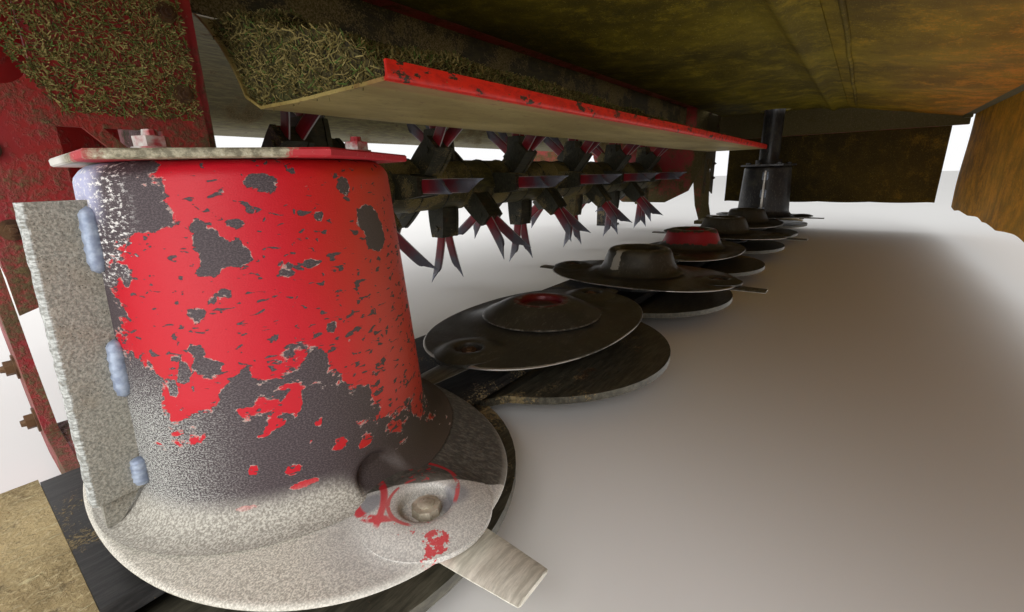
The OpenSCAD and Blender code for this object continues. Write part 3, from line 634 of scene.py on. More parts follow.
class Tree(Nodes):
    """A Geometry Nodes tree while it is being laid."""

    def __init__(self, name, **inputs):
        self.tree = bpy.data.node_groups.new(name, "GeometryNodeTree")
        face = self.tree.interface
        face.new_socket("Geometry", in_out="INPUT", socket_type="NodeSocketGeometry")
        kinds = {int: "NodeSocketInt", float: "NodeSocketFloat"}
        self.names = {}
        for key, value in {**inputs, "finish": bpy.data.materials[0]}.items():
            kind = kinds.get(type(value), "NodeSocketMaterial")
            socket = face.new_socket(key, in_out="INPUT", socket_type=kind)
            socket.default_value = value
            self.names[key] = socket.identifier
        face.new_socket("Geometry", in_out="OUTPUT", socket_type="NodeSocketGeometry")
        self.start = self.tree.nodes.new("NodeGroupInput")
        self.end = self.tree.nodes.new("NodeGroupOutput")

    def given(self, *names):
        wires = [Wire(self, self.start.outputs[name]) for name in names]
        return wires if len(wires) > 1 else wires[0]

    def vector(self, x=0.0, y=0.0, z=0.0):
        return self.node("ShaderNodeCombineXYZ", None, {0: x, 1: y, 2: z})

    def position(self):
        split = self.node("ShaderNodeSeparateXYZ", None,
                          {0: self.node("GeometryNodeInputPosition")})
        return [split.part(key) for key in "XYZ"]

    def named(self, name, kind="FLOAT"):
        return self.node("GeometryNodeInputNamedAttribute", {"data_type": kind},
                         {"Name": name})

    def block(self, x, y, z, counts):
        """A box of x by y by z with its points counted along each axis."""
        return self.node("GeometryNodeMeshCube", None, {
            "Size": self.vector(x, y, z), "Vertices X": counts[0],
            "Vertices Y": counts[1], "Vertices Z": counts[2]})

    def rod(self, sides, radius, depth):
        return self.node("GeometryNodeMeshCylinder", {"fill_type": "NGON"}, {
            "Vertices": sides, "Radius": radius, "Depth": depth})

    def joined(self, *shapes):
        return self.node("GeometryNodeJoinGeometry", None, {"Geometry": list(shapes)})

    def moved(self, shape, translation=(0, 0, 0), rotation=(0, 0, 0)):
        return self.node("GeometryNodeTransform", None, {
            "Geometry": shape, "Translation": translation, "Rotation": rotation})

    def reshaped(self, shape, rule):
        """Each point goes to rule(x, y, z)."""
        return self.node("GeometryNodeSetPosition", None, {
            "Geometry": shape, "Position": self.vector(*rule(*self.position()))})

    def noted(self, shape, name, value, domain="POINT"):
        return self.node("GeometryNodeStoreNamedAttribute",
                         {"data_type": "FLOAT", "domain": domain},
                         {"Geometry": shape, "Name": name, "Value": value})

    def spread(self, shape, rotation, points=None, **more):
        """The shape at every point."""
        return self.node("GeometryNodeInstanceOnPoints", None, {
            "Points": points or self.given("Geometry"), "Instance": shape,
            "Rotation": rotation, **more})

    def finished(self, shape):
        real = self.node("GeometryNodeRealizeInstances", None, {"Geometry": shape})
        dressed = self.node("GeometryNodeSetMaterial", None, {
            "Geometry": real, "Material": self.given("finish")})
        self.tree.links.new(dressed.socket, self.end.inputs[0])
        return self

    def grown(self, name, shape, notes, **values):
        """A plain mesh from the tree, grown on the points and faces of shape."""
        made = raw_piece(name, shape)
        for key, (kind, rows) in notes.items():
            layer = made.data.attributes.new(key, kind, "POINT")
            field = "vector" if kind == "FLOAT_VECTOR" else "value"
            layer.data.foreach_set(field, np.array(rows, float).ravel())
        modifier = made.modifiers.new("grown", "NODES")
        modifier.node_group = self.tree
        for key, value in values.items():
            modifier[self.names[key]] = value
        evaluated(made)
        return made


def bolt_tree():
    """Hexagon heads with a thread's end, each on its washer."""
    t = Tree("bolts", radius=0.009, height=0.007, washer=0.014)
    radius, height, washer = t.given("radius", "height", "washer")
    lift = 0.0018
    tip = t.node("GeometryNodeMeshCone", {"fill_type": "NGON"}, {
        "Vertices": 10, "Radius Top": radius * 0.42, "Radius Bottom": radius * 0.5,
        "Depth": 0.004})
    whole = t.joined(t.moved(t.rod(6, radius, height), t.vector(z=height * 0.5 + lift)),
                     t.moved(t.rod(16, washer, 0.0022), (0, 0, 0.0011)),
                     t.moved(tip, t.vector(z=height + lift)))
    aimed = t.node("FunctionNodeAlignRotationToVector", {"axis": "Z"},
                   {"Vector": t.named("aim", "FLOAT_VECTOR")})
    return t.finished(t.spread(whole, aimed))


def blade_tree():
    """Pairs of tines that lean apart along the rotor."""
    t = Tree("tine_pairs", reach=0.165, width=0.034, thickness=0.008, lean=0.2094,
             root=0.009, lug=0.128, curl=0.011)
    reach, width, thickness, lean, root, lug, curl = t.given(
        "reach", "width", "thickness", "lean", "root", "lug", "curl")
    bar = t.moved(t.block(thickness, reach + 0.006, width, (3, 10, 5)),
                  t.vector(y=reach * 0.5 - 0.003))

    def shaped(x, y, z):
        along = (y / reach).most(0.0)
        edge = ((z / width) * 2.0).span()
        slant = ((z / width) + 0.5) * (along ** 5.0) * 0.3
        thin = 1 - (edge ** 4.0) * 0.7
        return (x * thin * (1 - along * 0.35) + curl * (along ** 2.2),
                y * (1 - slant), z * (1.5 - edge * 0.5) * (1 - (along ** 4.0) * 0.1))

    blade = t.reshaped(bar, shaped)
    blade = t.noted(blade, "rim", ((t.position()[2] / width).span() * 2.0) ** 4.0)
    pair = t.joined(t.moved(blade, t.vector(root, lug), t.vector(z=0 - lean)),
                    t.moved(blade, t.vector(0 - root, lug), t.vector(0.0, pi, lean)))
    return t.finished(t.spread(pair, t.vector(t.named("turn"))))


def lug_tree():
    """Cast lugs that carry the tines: a tapering block, two cheeks and a pin."""
    t = Tree("tine_lugs", width=0.066, foot=0.066, top=0.152)
    width, foot, top = t.given("width", "foot", "top")
    tall = top - foot

    def tapered(x, y, z):
        up = ((y - foot) / tall) ** 2.0
        return x, y, z * (1 - up * 0.26)

    block, cheek = (
        t.reshaped(t.moved(t.block(width * share, tall, deep, counts),
                           t.vector(y=foot + tall * 0.5)), tapered)
        for share, deep, counts in ((0.62, 0.056, (3, 6, 4)), (0.17, 0.062, (2, 6, 4))))
    pin = t.moved(t.rod(12, 0.0085, width + 0.006), (0, 0.126, 0), (0, pi / 2, 0))
    whole = t.joined(block, pin, *(t.moved(cheek, t.vector(width * side))
                                   for side in (-0.415, 0.415)))
    return t.finished(t.spread(whole, t.vector(t.named("turn"))))


def clipping_tree():
    """Dried clippings strewn over a surface."""
    t = Tree("clippings", density=1000.0, length=0.03, breadth=0.0017, tilt=0.5, seed=3)
    density, length, breadth, tilt, seed = t.given(
        "density", "length", "breadth", "tilt", "seed")
    scattered = t.node("GeometryNodeDistributePointsOnFaces", None,
                       {"Mesh": t.given("Geometry"), "Density": density, "Seed": seed})
    strip = t.reshaped(t.block(length, breadth, 0.0005, (3, 2, 2)),
                       lambda x, y, z: (x, y, z - (x * x / length) * 0.9))

    def random(kind, low, high, shift):
        node = t.node("FunctionNodeRandomValue", {"data_type": kind},
                      {"Seed": seed + float(shift)}).socket.node
        ends = [s for s in node.inputs if s.enabled and s.name in ("Min", "Max")]
        ends[0].default_value, ends[1].default_value = low, high
        return Wire(t, next(o for o in node.outputs if o.enabled))

    lean = t.vector(random("FLOAT", -1.0, 1.0, 11) * tilt,
                    random("FLOAT", -1.0, 1.0, 12) * tilt, random("FLOAT", 0.0, tau, 13))
    leant = t.node("FunctionNodeEulerToRotation", None, {0: lean})
    aimed = t.node("FunctionNodeRotateRotation", {"rotation_space": "LOCAL"},
                   {0: scattered.part("Rotation"), 1: leant})
    strewn = t.spread(strip, aimed, scattered,
                      Scale=random("FLOAT_VECTOR", (0.3, 0.6, 1.0), (1.3, 1.5, 1.0), 14))
    return t.finished(t.noted(strewn, "shade", random("FLOAT", 0.0, 1.0, 15), "INSTANCE"))


# Discs, drums, caps and knives

def solid(centre, profile, count=96, turn=0.0):
    """A turned shape whose profile begins and ends on its axis."""
    whole = [(0.0, profile[0][1]), *profile, (0.0, profile[-1][1])]
    return turned(centre, whole, count, turn=turn)


def oval(turn, share):
    """A disc's outline, drawn in to a share of its size."""
    c, s = cos(turn), sin(turn)
    return (share * DISC_A * copysign(abs(c) ** 0.92, c),
            share * DISC_B * copysign(abs(s) ** 0.92, s))


def disc_turn(n):
    return pi / 2 if n % 2 else 0.0


def knife_spots(n):
    return [disc_axis(n) + polar(KNIFE_AT, disc_turn(n) + side) for side in (0, pi)]


def bearing(co, n):
    """Direction of a point from a disc's axis, in degrees."""
    away = co - disc_axis(n)
    return degrees(atan2(away.y, away.x))


def disc_piece(n, finish):
    """Oval disc with a smooth dome, raised knife seats and a thin rounded rim."""
    axis = disc_axis(n)
    spin = Matrix.Rotation(disc_turn(n), 3, "Z")
    spots = knife_spots(n)

    def top(point, share):
        near = min((point - s).length for s in spots)
        if near < 0.0315:
            return DISC_TOP - 0.0035
        dome = 0.0055 * (1 - rise((point - axis).length, 0.088, 0.132))
        seat = 0.0045 * (1 - rise(near, 0.034, 0.056))
        return DISC_TOP + max(dome, seat) - 0.0026 * rise(share, 0.55, 1.0)

    shares = [0.0, 0.15, 0.3] + [0.36 + 0.03 * i for i in range(21)] + [0.975, 0.988]
    rings = []
    for share, z in [(share, None) for share in shares] + [
            (0.998, 0.0832), (1.0, 0.0822), (0.998, 0.0813), (0.98, DISC_LOW),
            (0.5, DISC_LOW), (0.0, DISC_LOW)]:
        ring = [axis + spin @ Vector((*oval(tau * i / 160, share), 0)) for i in range(160)]
        for point in ring:
            point.z = top(point, share) if z is None else z
        rings.append(ring)
    spindle = solid(axis, [(0.019, 0.0645), (0.02, 0.0655), (0.02, 0.0812)], 40)
    made = piece(f"disc_plate_{n}", f"disc_{n}_set", finish,
                 together(skin(rings), spindle), (f"disc_{n}",), 50)

    # The rim mark lightens the disc's edge: part wear, part painted highlight.
    def edge(co):
        local = spin.transposed() @ (co - axis)
        full = hypot(*oval(atan2(local.y / DISC_B, local.x / DISC_A), 1.0))
        return rise(hypot(local.x, local.y) / full, 0.975, 0.999)

    marked(made, "rim", edge)
    return made


def sunlit_side(co):
    """1 on the front of the end disc, which is painted as sunlit, and 0 behind, which is
    painted as in shadow.
    """
    away = co - disc_axis(1)
    front = rise(away.x * 0.723 + away.y * 0.691, 0.0995, 0.1115)
    return max(front, 1 - rise(abs(bearing(co, 1) + 10), 45, 52))


COLLAR = [(0.0485, 0.0868), (0.0455, 0.0877), (0.042, 0.0891), (0.0375, 0.0909),
          (0.032, 0.0925), (0.0262, 0.0932), (0.0222, 0.0929), (0.0199, 0.0916),
          (0.0191, 0.0889), (0.0188, 0.0828), (0.0485, 0.0828)]
# The worn head of a knife bolt, its stud and its nut below: sides, turn and profile
KNIFE_BOLT = [
    (9, 0.35, [(0.0108, 0.083), (0.0113, 0.0842), (0.0113, 0.0882), (0.0104, 0.0898),
               (0.0066, 0.0905)]),
    (20, 0.0, [(0.0064, 0.09), (0.0062, 0.0914), (0.0052, 0.092)]),
    (6, 0.0, [(0.0115, 0.069), (0.0125, 0.0705), (0.0125, 0.0729)])]


def seat_pieces(n, finish, bolt):
    """Raised collars round the knife bolts, which sit deep in their pockets."""
    collars = [turned(spot, COLLAR, 72, closed=True) for spot in knife_spots(n)]
    heads = [solid(spot, profile, sides, turn) for spot in knife_spots(n)
             for sides, turn, profile in KNIFE_BOLT]
    seats = piece(f"knife_seats_{n}", f"disc_{n}_set", finish,
                  together(*collars), (), 50)
    # The collar's top is lightened, part wear and part painted highlight; the second mark
    # is the disc's painted sunlight and shadow.
    marked(seats, "rim", lambda co: 0.32 * rise(co.z, 0.0921, 0.0931))
    marked(seats, "dust", sunlit_side)
    piece(f"knife_bolts_{n}", f"disc_{n}_set", bolt, together(*heads))


# Half width of a knife along it, from its bolt
KNIFE_LINE = [(-0.0215, 0.011), (-0.018, 0.0185), (-0.010, 0.0225), (0.010, 0.0228),
              (0.035, 0.0208), (0.060, 0.0192), (0.080, 0.0176), (0.0905, 0.0169),
              (0.0955, 0.0163), (0.0962, 0.0145)]


def knife_piece(n, finish):
    """Two flat knives, wider at the bolt, with ground edges."""
    blades = []
    for side in (0, pi):
        spin = Matrix.Rotation(disc_turn(n) + side, 3, "Z")
        rings = []
        for along, half in KNIFE_LINE:
            ground = 0.001 + 0.0045 * rise(along, 0.02, 0.04)
            section = [(-half, 0.0738), (-half, 0.0746), (ground - half, 0.0768),
                       (half - ground, 0.0768), (half, 0.0746), (half, 0.0738),
                       (half - 0.001, 0.0731), (0.001 - half, 0.0731)]
            rings.append([disc_axis(n) + spin @ Vector((KNIFE_AT + along, across, z))
                          for across, z in section])
        blades.append(skin(drawn_in(rings)))
    blades += [solid(spot, [(0.014, 0.0765), (0.014, 0.081)], 24)
               for spot in knife_spots(n)]
    piece(f"knife_pair_{n}", f"disc_{n}_set", finish, together(*blades),
          (f"knives_{n}",), 25)


LOW_CAP = [(0.094, 0.0), (0.0955, 0.0012), (0.0995, 0.0022), (0.1005, 0.0034),
           (0.0995, 0.0046), (0.095, 0.0062), (0.088, 0.0098), (0.079, 0.0148),
           (0.069, 0.0195), (0.060, 0.0228), (0.051, 0.0247), (0.043, 0.0255),
           (0.0385, 0.0255), (0.036, 0.0242), (0.0345, 0.021), (0.034, 0.0165),
           (0.012, 0.0155)]
TALL_CAP = [(0.108, 0.0), (0.102, 0.001), (0.096, 0.0032), (0.091, 0.0075),
            (0.0865, 0.014), (0.0825, 0.023), (0.079, 0.033), (0.076, 0.041),
            (0.0735, 0.047), (0.0705, 0.0515), (0.066, 0.054), (0.060, 0.055),
            (0.051, 0.055), (0.0475, 0.0537), (0.0455, 0.050), (0.0435, 0.046),
            (0.040, 0.0442), (0.014, 0.044), (0.013, 0.047)]


def cap_piece(n, finish):
    """Pressed cap that flares out onto its disc, with a hollow in its top."""
    axis, low = disc_axis(n), n == 2
    profile = LOW_CAP if low else TALL_CAP
    tall = max(z for _, z in profile)
    made = piece(f"cap_shell_{n}", f"disc_{n}_set", finish,
                 solid(axis, [(r, CAP_FOOT + z) for r, z in profile]), (f"cap_{n}",), 50)

    # The cap's edge and top rim are lightened: part wear, part painted highlight.
    def worn_and_lit_edge(co):
        reach = (co - axis).xy.length
        if low and reach > 0.09:
            return 0.62 * rise(reach, 0.0965, 0.0995)
        return 0.6 * rise(co.z - CAP_FOOT, tall - 0.004, tall) if reach > 0.03 else 0.0

    def band(co):
        height = (co.z - CAP_FOOT) / tall
        if low:
            return 1.1 if 0.032 < (co - axis).xy.length < 0.05 else -0.4
        if n == 3:
            return 1.05 - min(abs(bearing(co, n) + 18) / 15, 1.0) if height > 0.2 else 0.1
        return 1.15 - abs(height - 0.6) * 2.2

    marked(made, "rim", worn_and_lit_edge)
    marked(made, "paint", band)


def drum_piece(n, finish, name, replaced):
    """Drum shell: a fillet at its foot, a leaning wall and a round shoulder."""
    axis = disc_axis(n)
    foot = DISC_TOP
    wall = [(0.122 - 0.013 * i / 34, foot + 0.028 + 0.206 * i / 34) for i in range(1, 34)]
    profile = (arc(0.150, foot + 0.028, 0.028, 270, 180, 12) + wall
               + arc(0.095, foot + 0.234, 0.014, 0, 90, 8)
               + [(0.060, foot + 0.248), (0.060, foot + 0.243), (0.095, foot + 0.243),
                  (0.104, foot + 0.234), (0.117, foot + 0.028), (0.117, foot + 0.001)])
    spots = [(spot - axis).xy for spot in knife_spots(n)]
    rings = []
    for radius, z in profile:
        ring = circle(axis, radius, z, 264)
        outside = radius > 0.1175 or z > foot + 0.24
        for point in ring if outside and radius < 0.1495 else []:
            out = (point - axis).xy.normalized()
            wobble = noise.noise(point * 9) * 0.0011 + noise.noise(point * 31) * 0.0003
            for spot in spots:
                aside = abs(spot.normalized().cross(out)) * radius
                if spot.dot(out) > 0:
                    reach = hypot(aside / 0.021, (z - foot) / 0.021)
                    wobble -= 0.011 * (1 - rise(reach, 0.75, 1.1))
            point.x += out.x * wobble
            point.y += out.y * wobble
        rings.append(ring)
    made = piece(name, f"disc_{n}_set", finish, skin(rings, closed=True), replaced,
                 60)
    mesh = made.data
    layer = mesh.uv_layers.new(name="shell")
    seam = radians(250)
    for face in mesh.polygons:
        base = atan2(face.center.y - axis.y, face.center.x - axis.x)
        for loop in face.loop_indices:
            p = mesh.vertices[mesh.loops[loop].vertex_index].co
            swing = (atan2(p.y - axis.y, p.x - axis.x) - base + pi) % tau - pi
            spread = max((p - axis).xy.length - 0.1225, 0.0) if p.z < foot + 0.03 else 0.0
            layer.data[loop].uv = (((base - seam) % tau + swing) * 0.115, p.z - spread)
    return made


# Chips on the end drum: angle in degrees, then height, half width and half height in mm,
# and depth; paint left standing has its depth below nought
DRUM_CHIPS = [
    (69, 320, 15, 8, 0.8), (57, 314, 5, 3, 0.5), (97, 315, 10, 10, 0.8),
    (106, 315, 2.5, 2.5, 0.5), (115, 312, 5, 3, 0.5), (108, 293, 20, 13, 0.85),
    (111, 275, 16, 14, 0.85), (85, 298, 5, 4, 0.6), (59, 295, 9, 5, 0.6),
    (50, 287, 13, 11, 0.65), (56, 276, 19, 11, 0.65), (49, 267, 11, 8, 0.6),
    (64, 270, 8, 3, 0.5), (33, 281.5, 17, 4.5, 0.6), (49, 298, 6, 6, 0.5),
    (71, 263, 10, 6, 0.6), (81, 266, 10, 5, 0.55), (70, 281, 4, 2.5, 0.5),
    (70, 274, 5, 3, 0.5), (53, 254, 6, 7, 0.6), (56, 252, 7, 2.5, 0.5),
    (43, 242, 9, 8, 0.6), (48, 247, 6, 3, 0.5), (38, 249, 3.5, 4, 0.5),
    (21, 262, 5, 8, 0.5), (26, 250, 3, 5, 0.5), (69, 238, 6, 3, 0.5),
    (62, 232, 3, 2.5, 0.5), (83, 218, 4, 4, 0.5), (88, 204, 5, 3, 0.5),
    (41, 217, 7, 7, 0.6), (44, 206, 12, 8, 0.6), (36, 202, 6, 7, 0.55),
    (34, 211, 6, 4, 0.5), (51, 186, 13, 10, 0.6), (54, 197, 7, 5, 0.5),
    (47, 175, 8, 5, 0.5), (76, 196, 8, 12, 0.6), (91, 161, 9, 8, 0.6),
    (31, 188, 4, 8, 0.5), (160, 280, 20, 12, 0.6), (200, 170, 20, 20, 0.6),
    (215, 250, 14, 8, 0.6), (240, 300, 16, 6, 0.6), (255, 190, 20, 14, 0.6),
    (275, 240, 12, 10, 0.6), (300, 280, 15, 12, 0.6), (147, 220, 12, 8, 0.6),
    (67, 172, 6, 10, -0.75), (60, 159, 9, 5, -0.7), (56, 151, 7, 5, -0.7),
    (51, 127, 4, 2.5, -0.7), (63, 123, 9, 3.5, -0.7), (66, 109, 15, 2.5, -0.7),
    (48, 102, 13, 2, -0.7), (79, 130, 9, 5, -0.7), (88, 123, 10, 6, -0.75),
    (73, 150, 4, 3, -0.7), (70, 140, 3, 2.5, -0.7), (40, 117, 4, 2, -0.65)]
DEGREE_MM = 2.05
# Where its red ends: height by angle above the foot, angle by height at the left
FOOT_LINE = [(-20, 228), (0, 232), (12, 228), (18, 216), (24, 202), (28, 160), (35, 155),
             (42, 162), (52, 172), (58, 178), (66, 187), (74, 187), (82, 176), (86, 150),
             (92, 138), (100, 122), (112, 118), (125, 100), (160, 130), (200, 150),
             (240, 135), (280, 160), (320, 228)]
LEFT_LINE = [(200, 15), (250, 14), (262, 14), (268, 16), (274, 20), (284, 25), (291, 31),
             (294.5, 41), (302, 43), (315, 38), (335, 36)]


def end_drum():
    """The near drum, with its paint, its lift bars and their welds."""
    made = drum_piece(1, drum_paint(), "end_drum_shell", ("drum_right",))

    def facing(co):
        return (bearing(co, 1) + 40) % 360 - 40

    def below(co, low, high):
        return 1 - rise(co.z, low, high)

    def paint(co):
        a, z = facing(co), co.z * 1000
        level = (z - np.interp(a, *zip(*FOOT_LINE))) / 26
        if a < 75:
            left = np.interp(z, *zip(*LEFT_LINE))
            level = min(level, max((a - left) / 9, (-26 - a) / 9))
        level = 0.5 + 0.25 * max(min(level, 1.0), -1.0)
        if level > 0.5:
            level -= 0.12 * below(co, 0.205, 0.235) * (1 - rise(a, 95, 120))
        for at_angle, height, wide, tall, depth in DRUM_CHIPS:
            aside, up = (a - at_angle) * DEGREE_MM / wide, (z - height) / tall
            if max(abs(aside), abs(up)) < 1.15:
                level -= depth * 0.65 * (1 - rise(hypot(aside, up), 0.35, 1.15))
        return level

    for name, rule in (
            ("paint", paint),
            # bare marks bare metal high on the near side, which also carries a painted
            # highlight
            ("bare", lambda co: (1 - rise(facing(co), 2, 40)) * rise(co.z, 0.245, 0.285)),
            ("foot", lambda co: below(co, 0.16, 0.225) * (1 - rise(facing(co), 16, 58))),
            # flare is painted sunlight on the lit part of the drum's foot
            ("flare", lambda co: below(co, 0.094, 0.111) * sunlit_side(co)),
            ("east", lambda co: rise(facing(co), 64, 122)),
            ("speck", lambda co: 0.25 + 0.75 * rise(facing(co), 40, 95)
             * below(co, 0.26, 0.31))):
        marked(made, name, rule)
    drum_bars(1, "lift_bars_right", bar_finish())


def drum_bars(n, name, finish):
    """Two lift bars up a drum and a small gusset at the foot of each."""
    axis = disc_axis(n)
    bars, beads = [], []

    def lean(z):
        return 0.0135 * (z - 0.087) / 0.248

    for side in (5, 185):
        spin = Matrix.Rotation(radians(side), 3, "Z")

        def on_drum(r, aside, z):
            return axis + spin @ Vector((r, aside, z))

        rings = []
        for z in spaced(0.109, 0.3125, 40):
            outer = 0.1525 - lean(z) + noise.noise(Vector((side, 0, z * 160))) * 0.0007
            half = [(0.108, 0.006), (outer - 0.0065, 0.006), (outer - 0.0018, 0.0055),
                    (outer, 0.0036)]
            rings.append([on_drum(r, -t, z) for r, t in half]
                         + [on_drum(r, t, z) for r, t in half[::-1]])
        bars.append(skin(drawn_in(rings)))
        corners = ((0.121, 0.112), (0.146, 0.112), (0.1475, 0.0885), (0.139, 0.0885))
        bars.append(([on_drum(r, t, z) for r, z in corners for t in (-0.0025, 0.0025)],
                     [(0, 2, 4, 6), (7, 5, 3, 1), (0, 1, 3, 2), (2, 3, 5, 4),
                      (4, 5, 7, 6), (6, 7, 1, 0)]))
        for edge in (-0.0085, 0.0085):
            for low, high in ((0.112, 0.134), (0.180, 0.222), (0.266, 0.309)):
                beads.append(bead([on_drum(0.1235 - 0.013 * (z - 0.115) / 0.206, edge, z)
                                   for z in spaced(low, high, 16)], 0.0052))
    made = piece(name, f"disc_{n}_set", finish, together(*bars), (), 40)
    marked(made, "rim", lambda co: rise((co - axis).xy.length + lean(co.z), 0.1455, 0.151))
    piece(name + "_welds", f"disc_{n}_set", WELD, together(*beads), (), 60)


def bead(path, radius):
    """A weld bead along a path, with ripples and round ends."""
    rings = []
    last = len(path) - 1
    for i, point in enumerate(path):
        ahead = (path[min(i + 1, last)] - path[max(i - 1, 0)]).normalized()
        side = ahead.orthogonal().normalized()
        up = ahead.cross(side)
        full = sqrt(max(1 - (2 * i / last - 1) ** 6, 0.0))
        r = radius * full * (1 + 0.09 * sin(i * 2.4))
        rings.append([point + r * (cos(tau * k / 10) * side + sin(tau * k / 10) * up)
                      for k in range(10)])
    return skin(rings)


def ring_up(centre, radius, count, start=0.0):
    """Places round an upright axis, facing up."""
    return [(centre + polar(radius, start + tau * k / count), UP) for k in range(count)]


def rotor_ring(x, radius, count, start=0.0):
    """Places round the rotor's axis."""
    turns = (start + tau * k / count for k in range(count))
    return [Vector((x, ROTOR.y + radius * cos(t), ROTOR.z + radius * sin(t)))
            for t in turns]


def head_plate():
    """Six-sided plate on the near drum and its bolts."""
    low = 0.335
    shape = solid(disc_axis(1), [(0.1262, low), (0.1276, low + 0.001),
                                 (0.1278, low + 0.0046), (0.1266, low + 0.0058)],
                  6, radians(28))
    piece("head_plate_right", "disc_1_set", plate_edge(), shape,
          ("drum_head_right",), 20)
    spots = ring_up(disc_axis(1) + Vector((0, 0, low + 0.0056)), 0.092, 4, radians(33))
    bolts("head_bolts_right", "disc_1_set", spots, (0.0095, 0.0066, 0.011),
          bolt_finish("plate_bolt", "c9c6bf", "a3343a"))


def bolts(name, body, spots, size, finish):
    """Bolts at each (place, outward direction), by radius, height and washer."""
    places, aims = zip(*spots)
    radius, height, washer = size
    made = BOLTS.grown(name, (places, []), {"aim": ("FLOAT_VECTOR", aims)},
                       radius=radius, height=height, washer=washer, finish=finish)
    made.data.set_sharp_from_angle(angle=radians(30))
    ridden(made, body)


def rotor_pieces():
    """Lugs and tines that wind round the rotor in steps of 45 degrees."""
    first = (STATIONS - 1) / 2 * PITCH + 0.0175
    places = [first - k * PITCH for k in range(STATIONS)]
    points = [ROTOR + Vector((x, 0, 0)) for x in places for _ in range(2)]
    turns = [radians(k * 45 + back) for k in range(STATIONS) for back in (0, 180)]
    notes = {"turn": ("FLOAT", turns)}
    tines = blade_tree().grown("rotor_tine_pairs", (points, []), notes,
                               finish=tine_finish())
    ridden(tines, "rotor", ("rotor_tines",))
    lugs = lug_tree().grown("rotor_lugs", (points, []), notes, finish=LUG)
    ridden(lugs, "rotor")
    rims = []
    for x in places:
        path = rotor_ring(x + 0.036, 0.0705, 24)
        rims.append(bead(path + path[:1], 0.003))
    piece("rotor_lug_welds", "rotor", LUG, together(*rims), (), 60)


# Sheets of steel and what lies on them

def at(x, y, z):
    """A place with its y counted from the disc line."""
    return Vector((x, y + LINE_Y, z))


def bent_sheet(path, thickness, xs, dent):
    """A sheet bent along path, given as (y, z) from front to rear, from xs[0] to xs[-1]."""
    count = len(path)
    flat = [Vector(p) for p in path]
    other = []
    for i, point in enumerate(flat):
        along = (flat[min(i + 1, count - 1)] - flat[max(i - 1, 0)]).normalized()
        other.append(point + thickness * Vector((along.y, -along.x)))
    points, faces = skin([[at(x, p.x, p.y + dent(x, p.x)) for p in flat + other[::-1]]
                          for x in xs])
    total = 2 * count
    for start, order in ((0, 1), ((len(xs) - 1) * total, -1)):
        for i in range(count - 1):
            face = (start + i, start + i + 1, start + total - 2 - i, start + total - 1 - i)
            faces.append(face[::order])
    return points, faces


def hood_arc(start, stop, steps):
    return arc(ROTOR.y - LINE_Y, ROTOR.z, HOOD_R, start, stop, steps)


def shelf_pieces():
    """The shelf with its rolled red lip, and the hood over the rotor."""
    def dents(x, y):
        if y > -0.004:
            return noise.noise(Vector((x * 2.2, 0, 3))) * 0.0016
        inside = min(1.0, (-y) / 0.05) * min(1.0, (1.196 - abs(x)) / 0.05)
        return noise.noise(Vector((x * 4, y * 7, 0))) * 0.0026 * inside

    lip = [(0.0052, 0.4368), (0.0056, 0.431), (0.0058, 0.4245), (0.0051, 0.4203),
           (0.0032, 0.4178), (0.0004, SHELF_Z), (-0.006, SHELF_Z)]
    flat = [(-0.02 - 0.025 * i, SHELF_Z) for i in range(11)]
    tail = [(-0.866, 0.4545), (-0.9, 0.447), (-0.93, 0.44)]
    for name, finish, path, xs, crease in (
            ("shelf_plate", shelf_finish(), lip + flat + hood_arc(26, 62, 10),
             spaced(-1.144, 1.144, 110), 50),
            ("hood_plate", HOOD, hood_arc(62, 146, 22) + tail,
             spaced(-1.196, 1.196, 60), 35)):
        piece(name, "header", finish, bent_sheet(path, 0.004, xs, dents),
              ("shelf_hood",), crease)


def strewn(name, shape, density, length, breadth, tilt, seed):
    """Clippings on the points and faces of shape."""
    ridden(CLIPPINGS.grown(name, shape, {}, density=density, length=length,
                           breadth=breadth, tilt=tilt, seed=seed, finish=CHAFF),
           "header")


def shelf_dirt():
    """Matted dirt heaped on the shelf and up the hood, strewn with clippings."""
    top, bottom = [], []
    for x in spaced(1.138, -1.138, 150):
        near = 0.66 + 0.42 * rise(x, -0.4, 0.9)
        upper, lower = [], []
        for y in spaced(-0.0015, -0.383, 28):
            below = SHELF_Z + 0.0034
            if y < -0.27:
                up = ROTOR.z + sqrt(max(HOOD_R ** 2 - (y + LINE_Y - ROTOR.y) ** 2, 0.0))
                below = max(below, up + 0.002, SHELF_Z + 0.002 - (y + 0.27) * 0.475)
            lump = noise.fractal(Vector((x * 9, y * 11, 4)), 1.0, 2.1, 4) * 0.5 + 0.5
            height = 0.006 + near * (0.058 * rise(-y, -0.02, 0.11)
                                     + 0.062 * rise(-y, 0.12, 0.36))
            upper.append(at(x, y, max(SHELF_Z + height * (0.72 + 0.5 * lump),
                                      below + 0.003)))
            lower.append(at(x, y, below))
        top.append(upper)
        bottom.append(lower)
    first, last = (row + row[::-1] for row in (bottom[0], bottom[-1]))
    heap = [first, *(a + b[::-1] for a, b in zip(top, bottom)), last]
    piece("shelf_dirt", "header", packed_dirt(), skin(heap), (), 80)
    near_side = max(i for i, row in enumerate(top) if row[0].x > 0.35)
    for name, rows, density, seed in (
            ("shelf_clippings_near", top[:near_side + 1], 26000.0, 5),
            ("shelf_clippings_far", top[near_side:], 9000.0, 6),
            ("shelf_clippings_end", [top[0][::-1], bottom[0][::-1]], 40000.0, 7)):
        strewn(name, skin(rows, open_ends=True), density, 0.017, 0.0012, 0.5, seed)


def plate_clippings():
    """Clippings caught on the panels beside the near drum."""
    wall = [at(x, PANEL_Y, z) for x, z in (
        (1.21, 0.40), (1.345, 0.40), (1.415, 0.53), (1.415, 0.645), (1.21, 0.645))]
    strewn("panel_clippings", (wall, [(0, 1, 2, 3, 4)]), 150000.0, 0.0085, 0.0009, 0.3, 9)


# Cloths of the guards

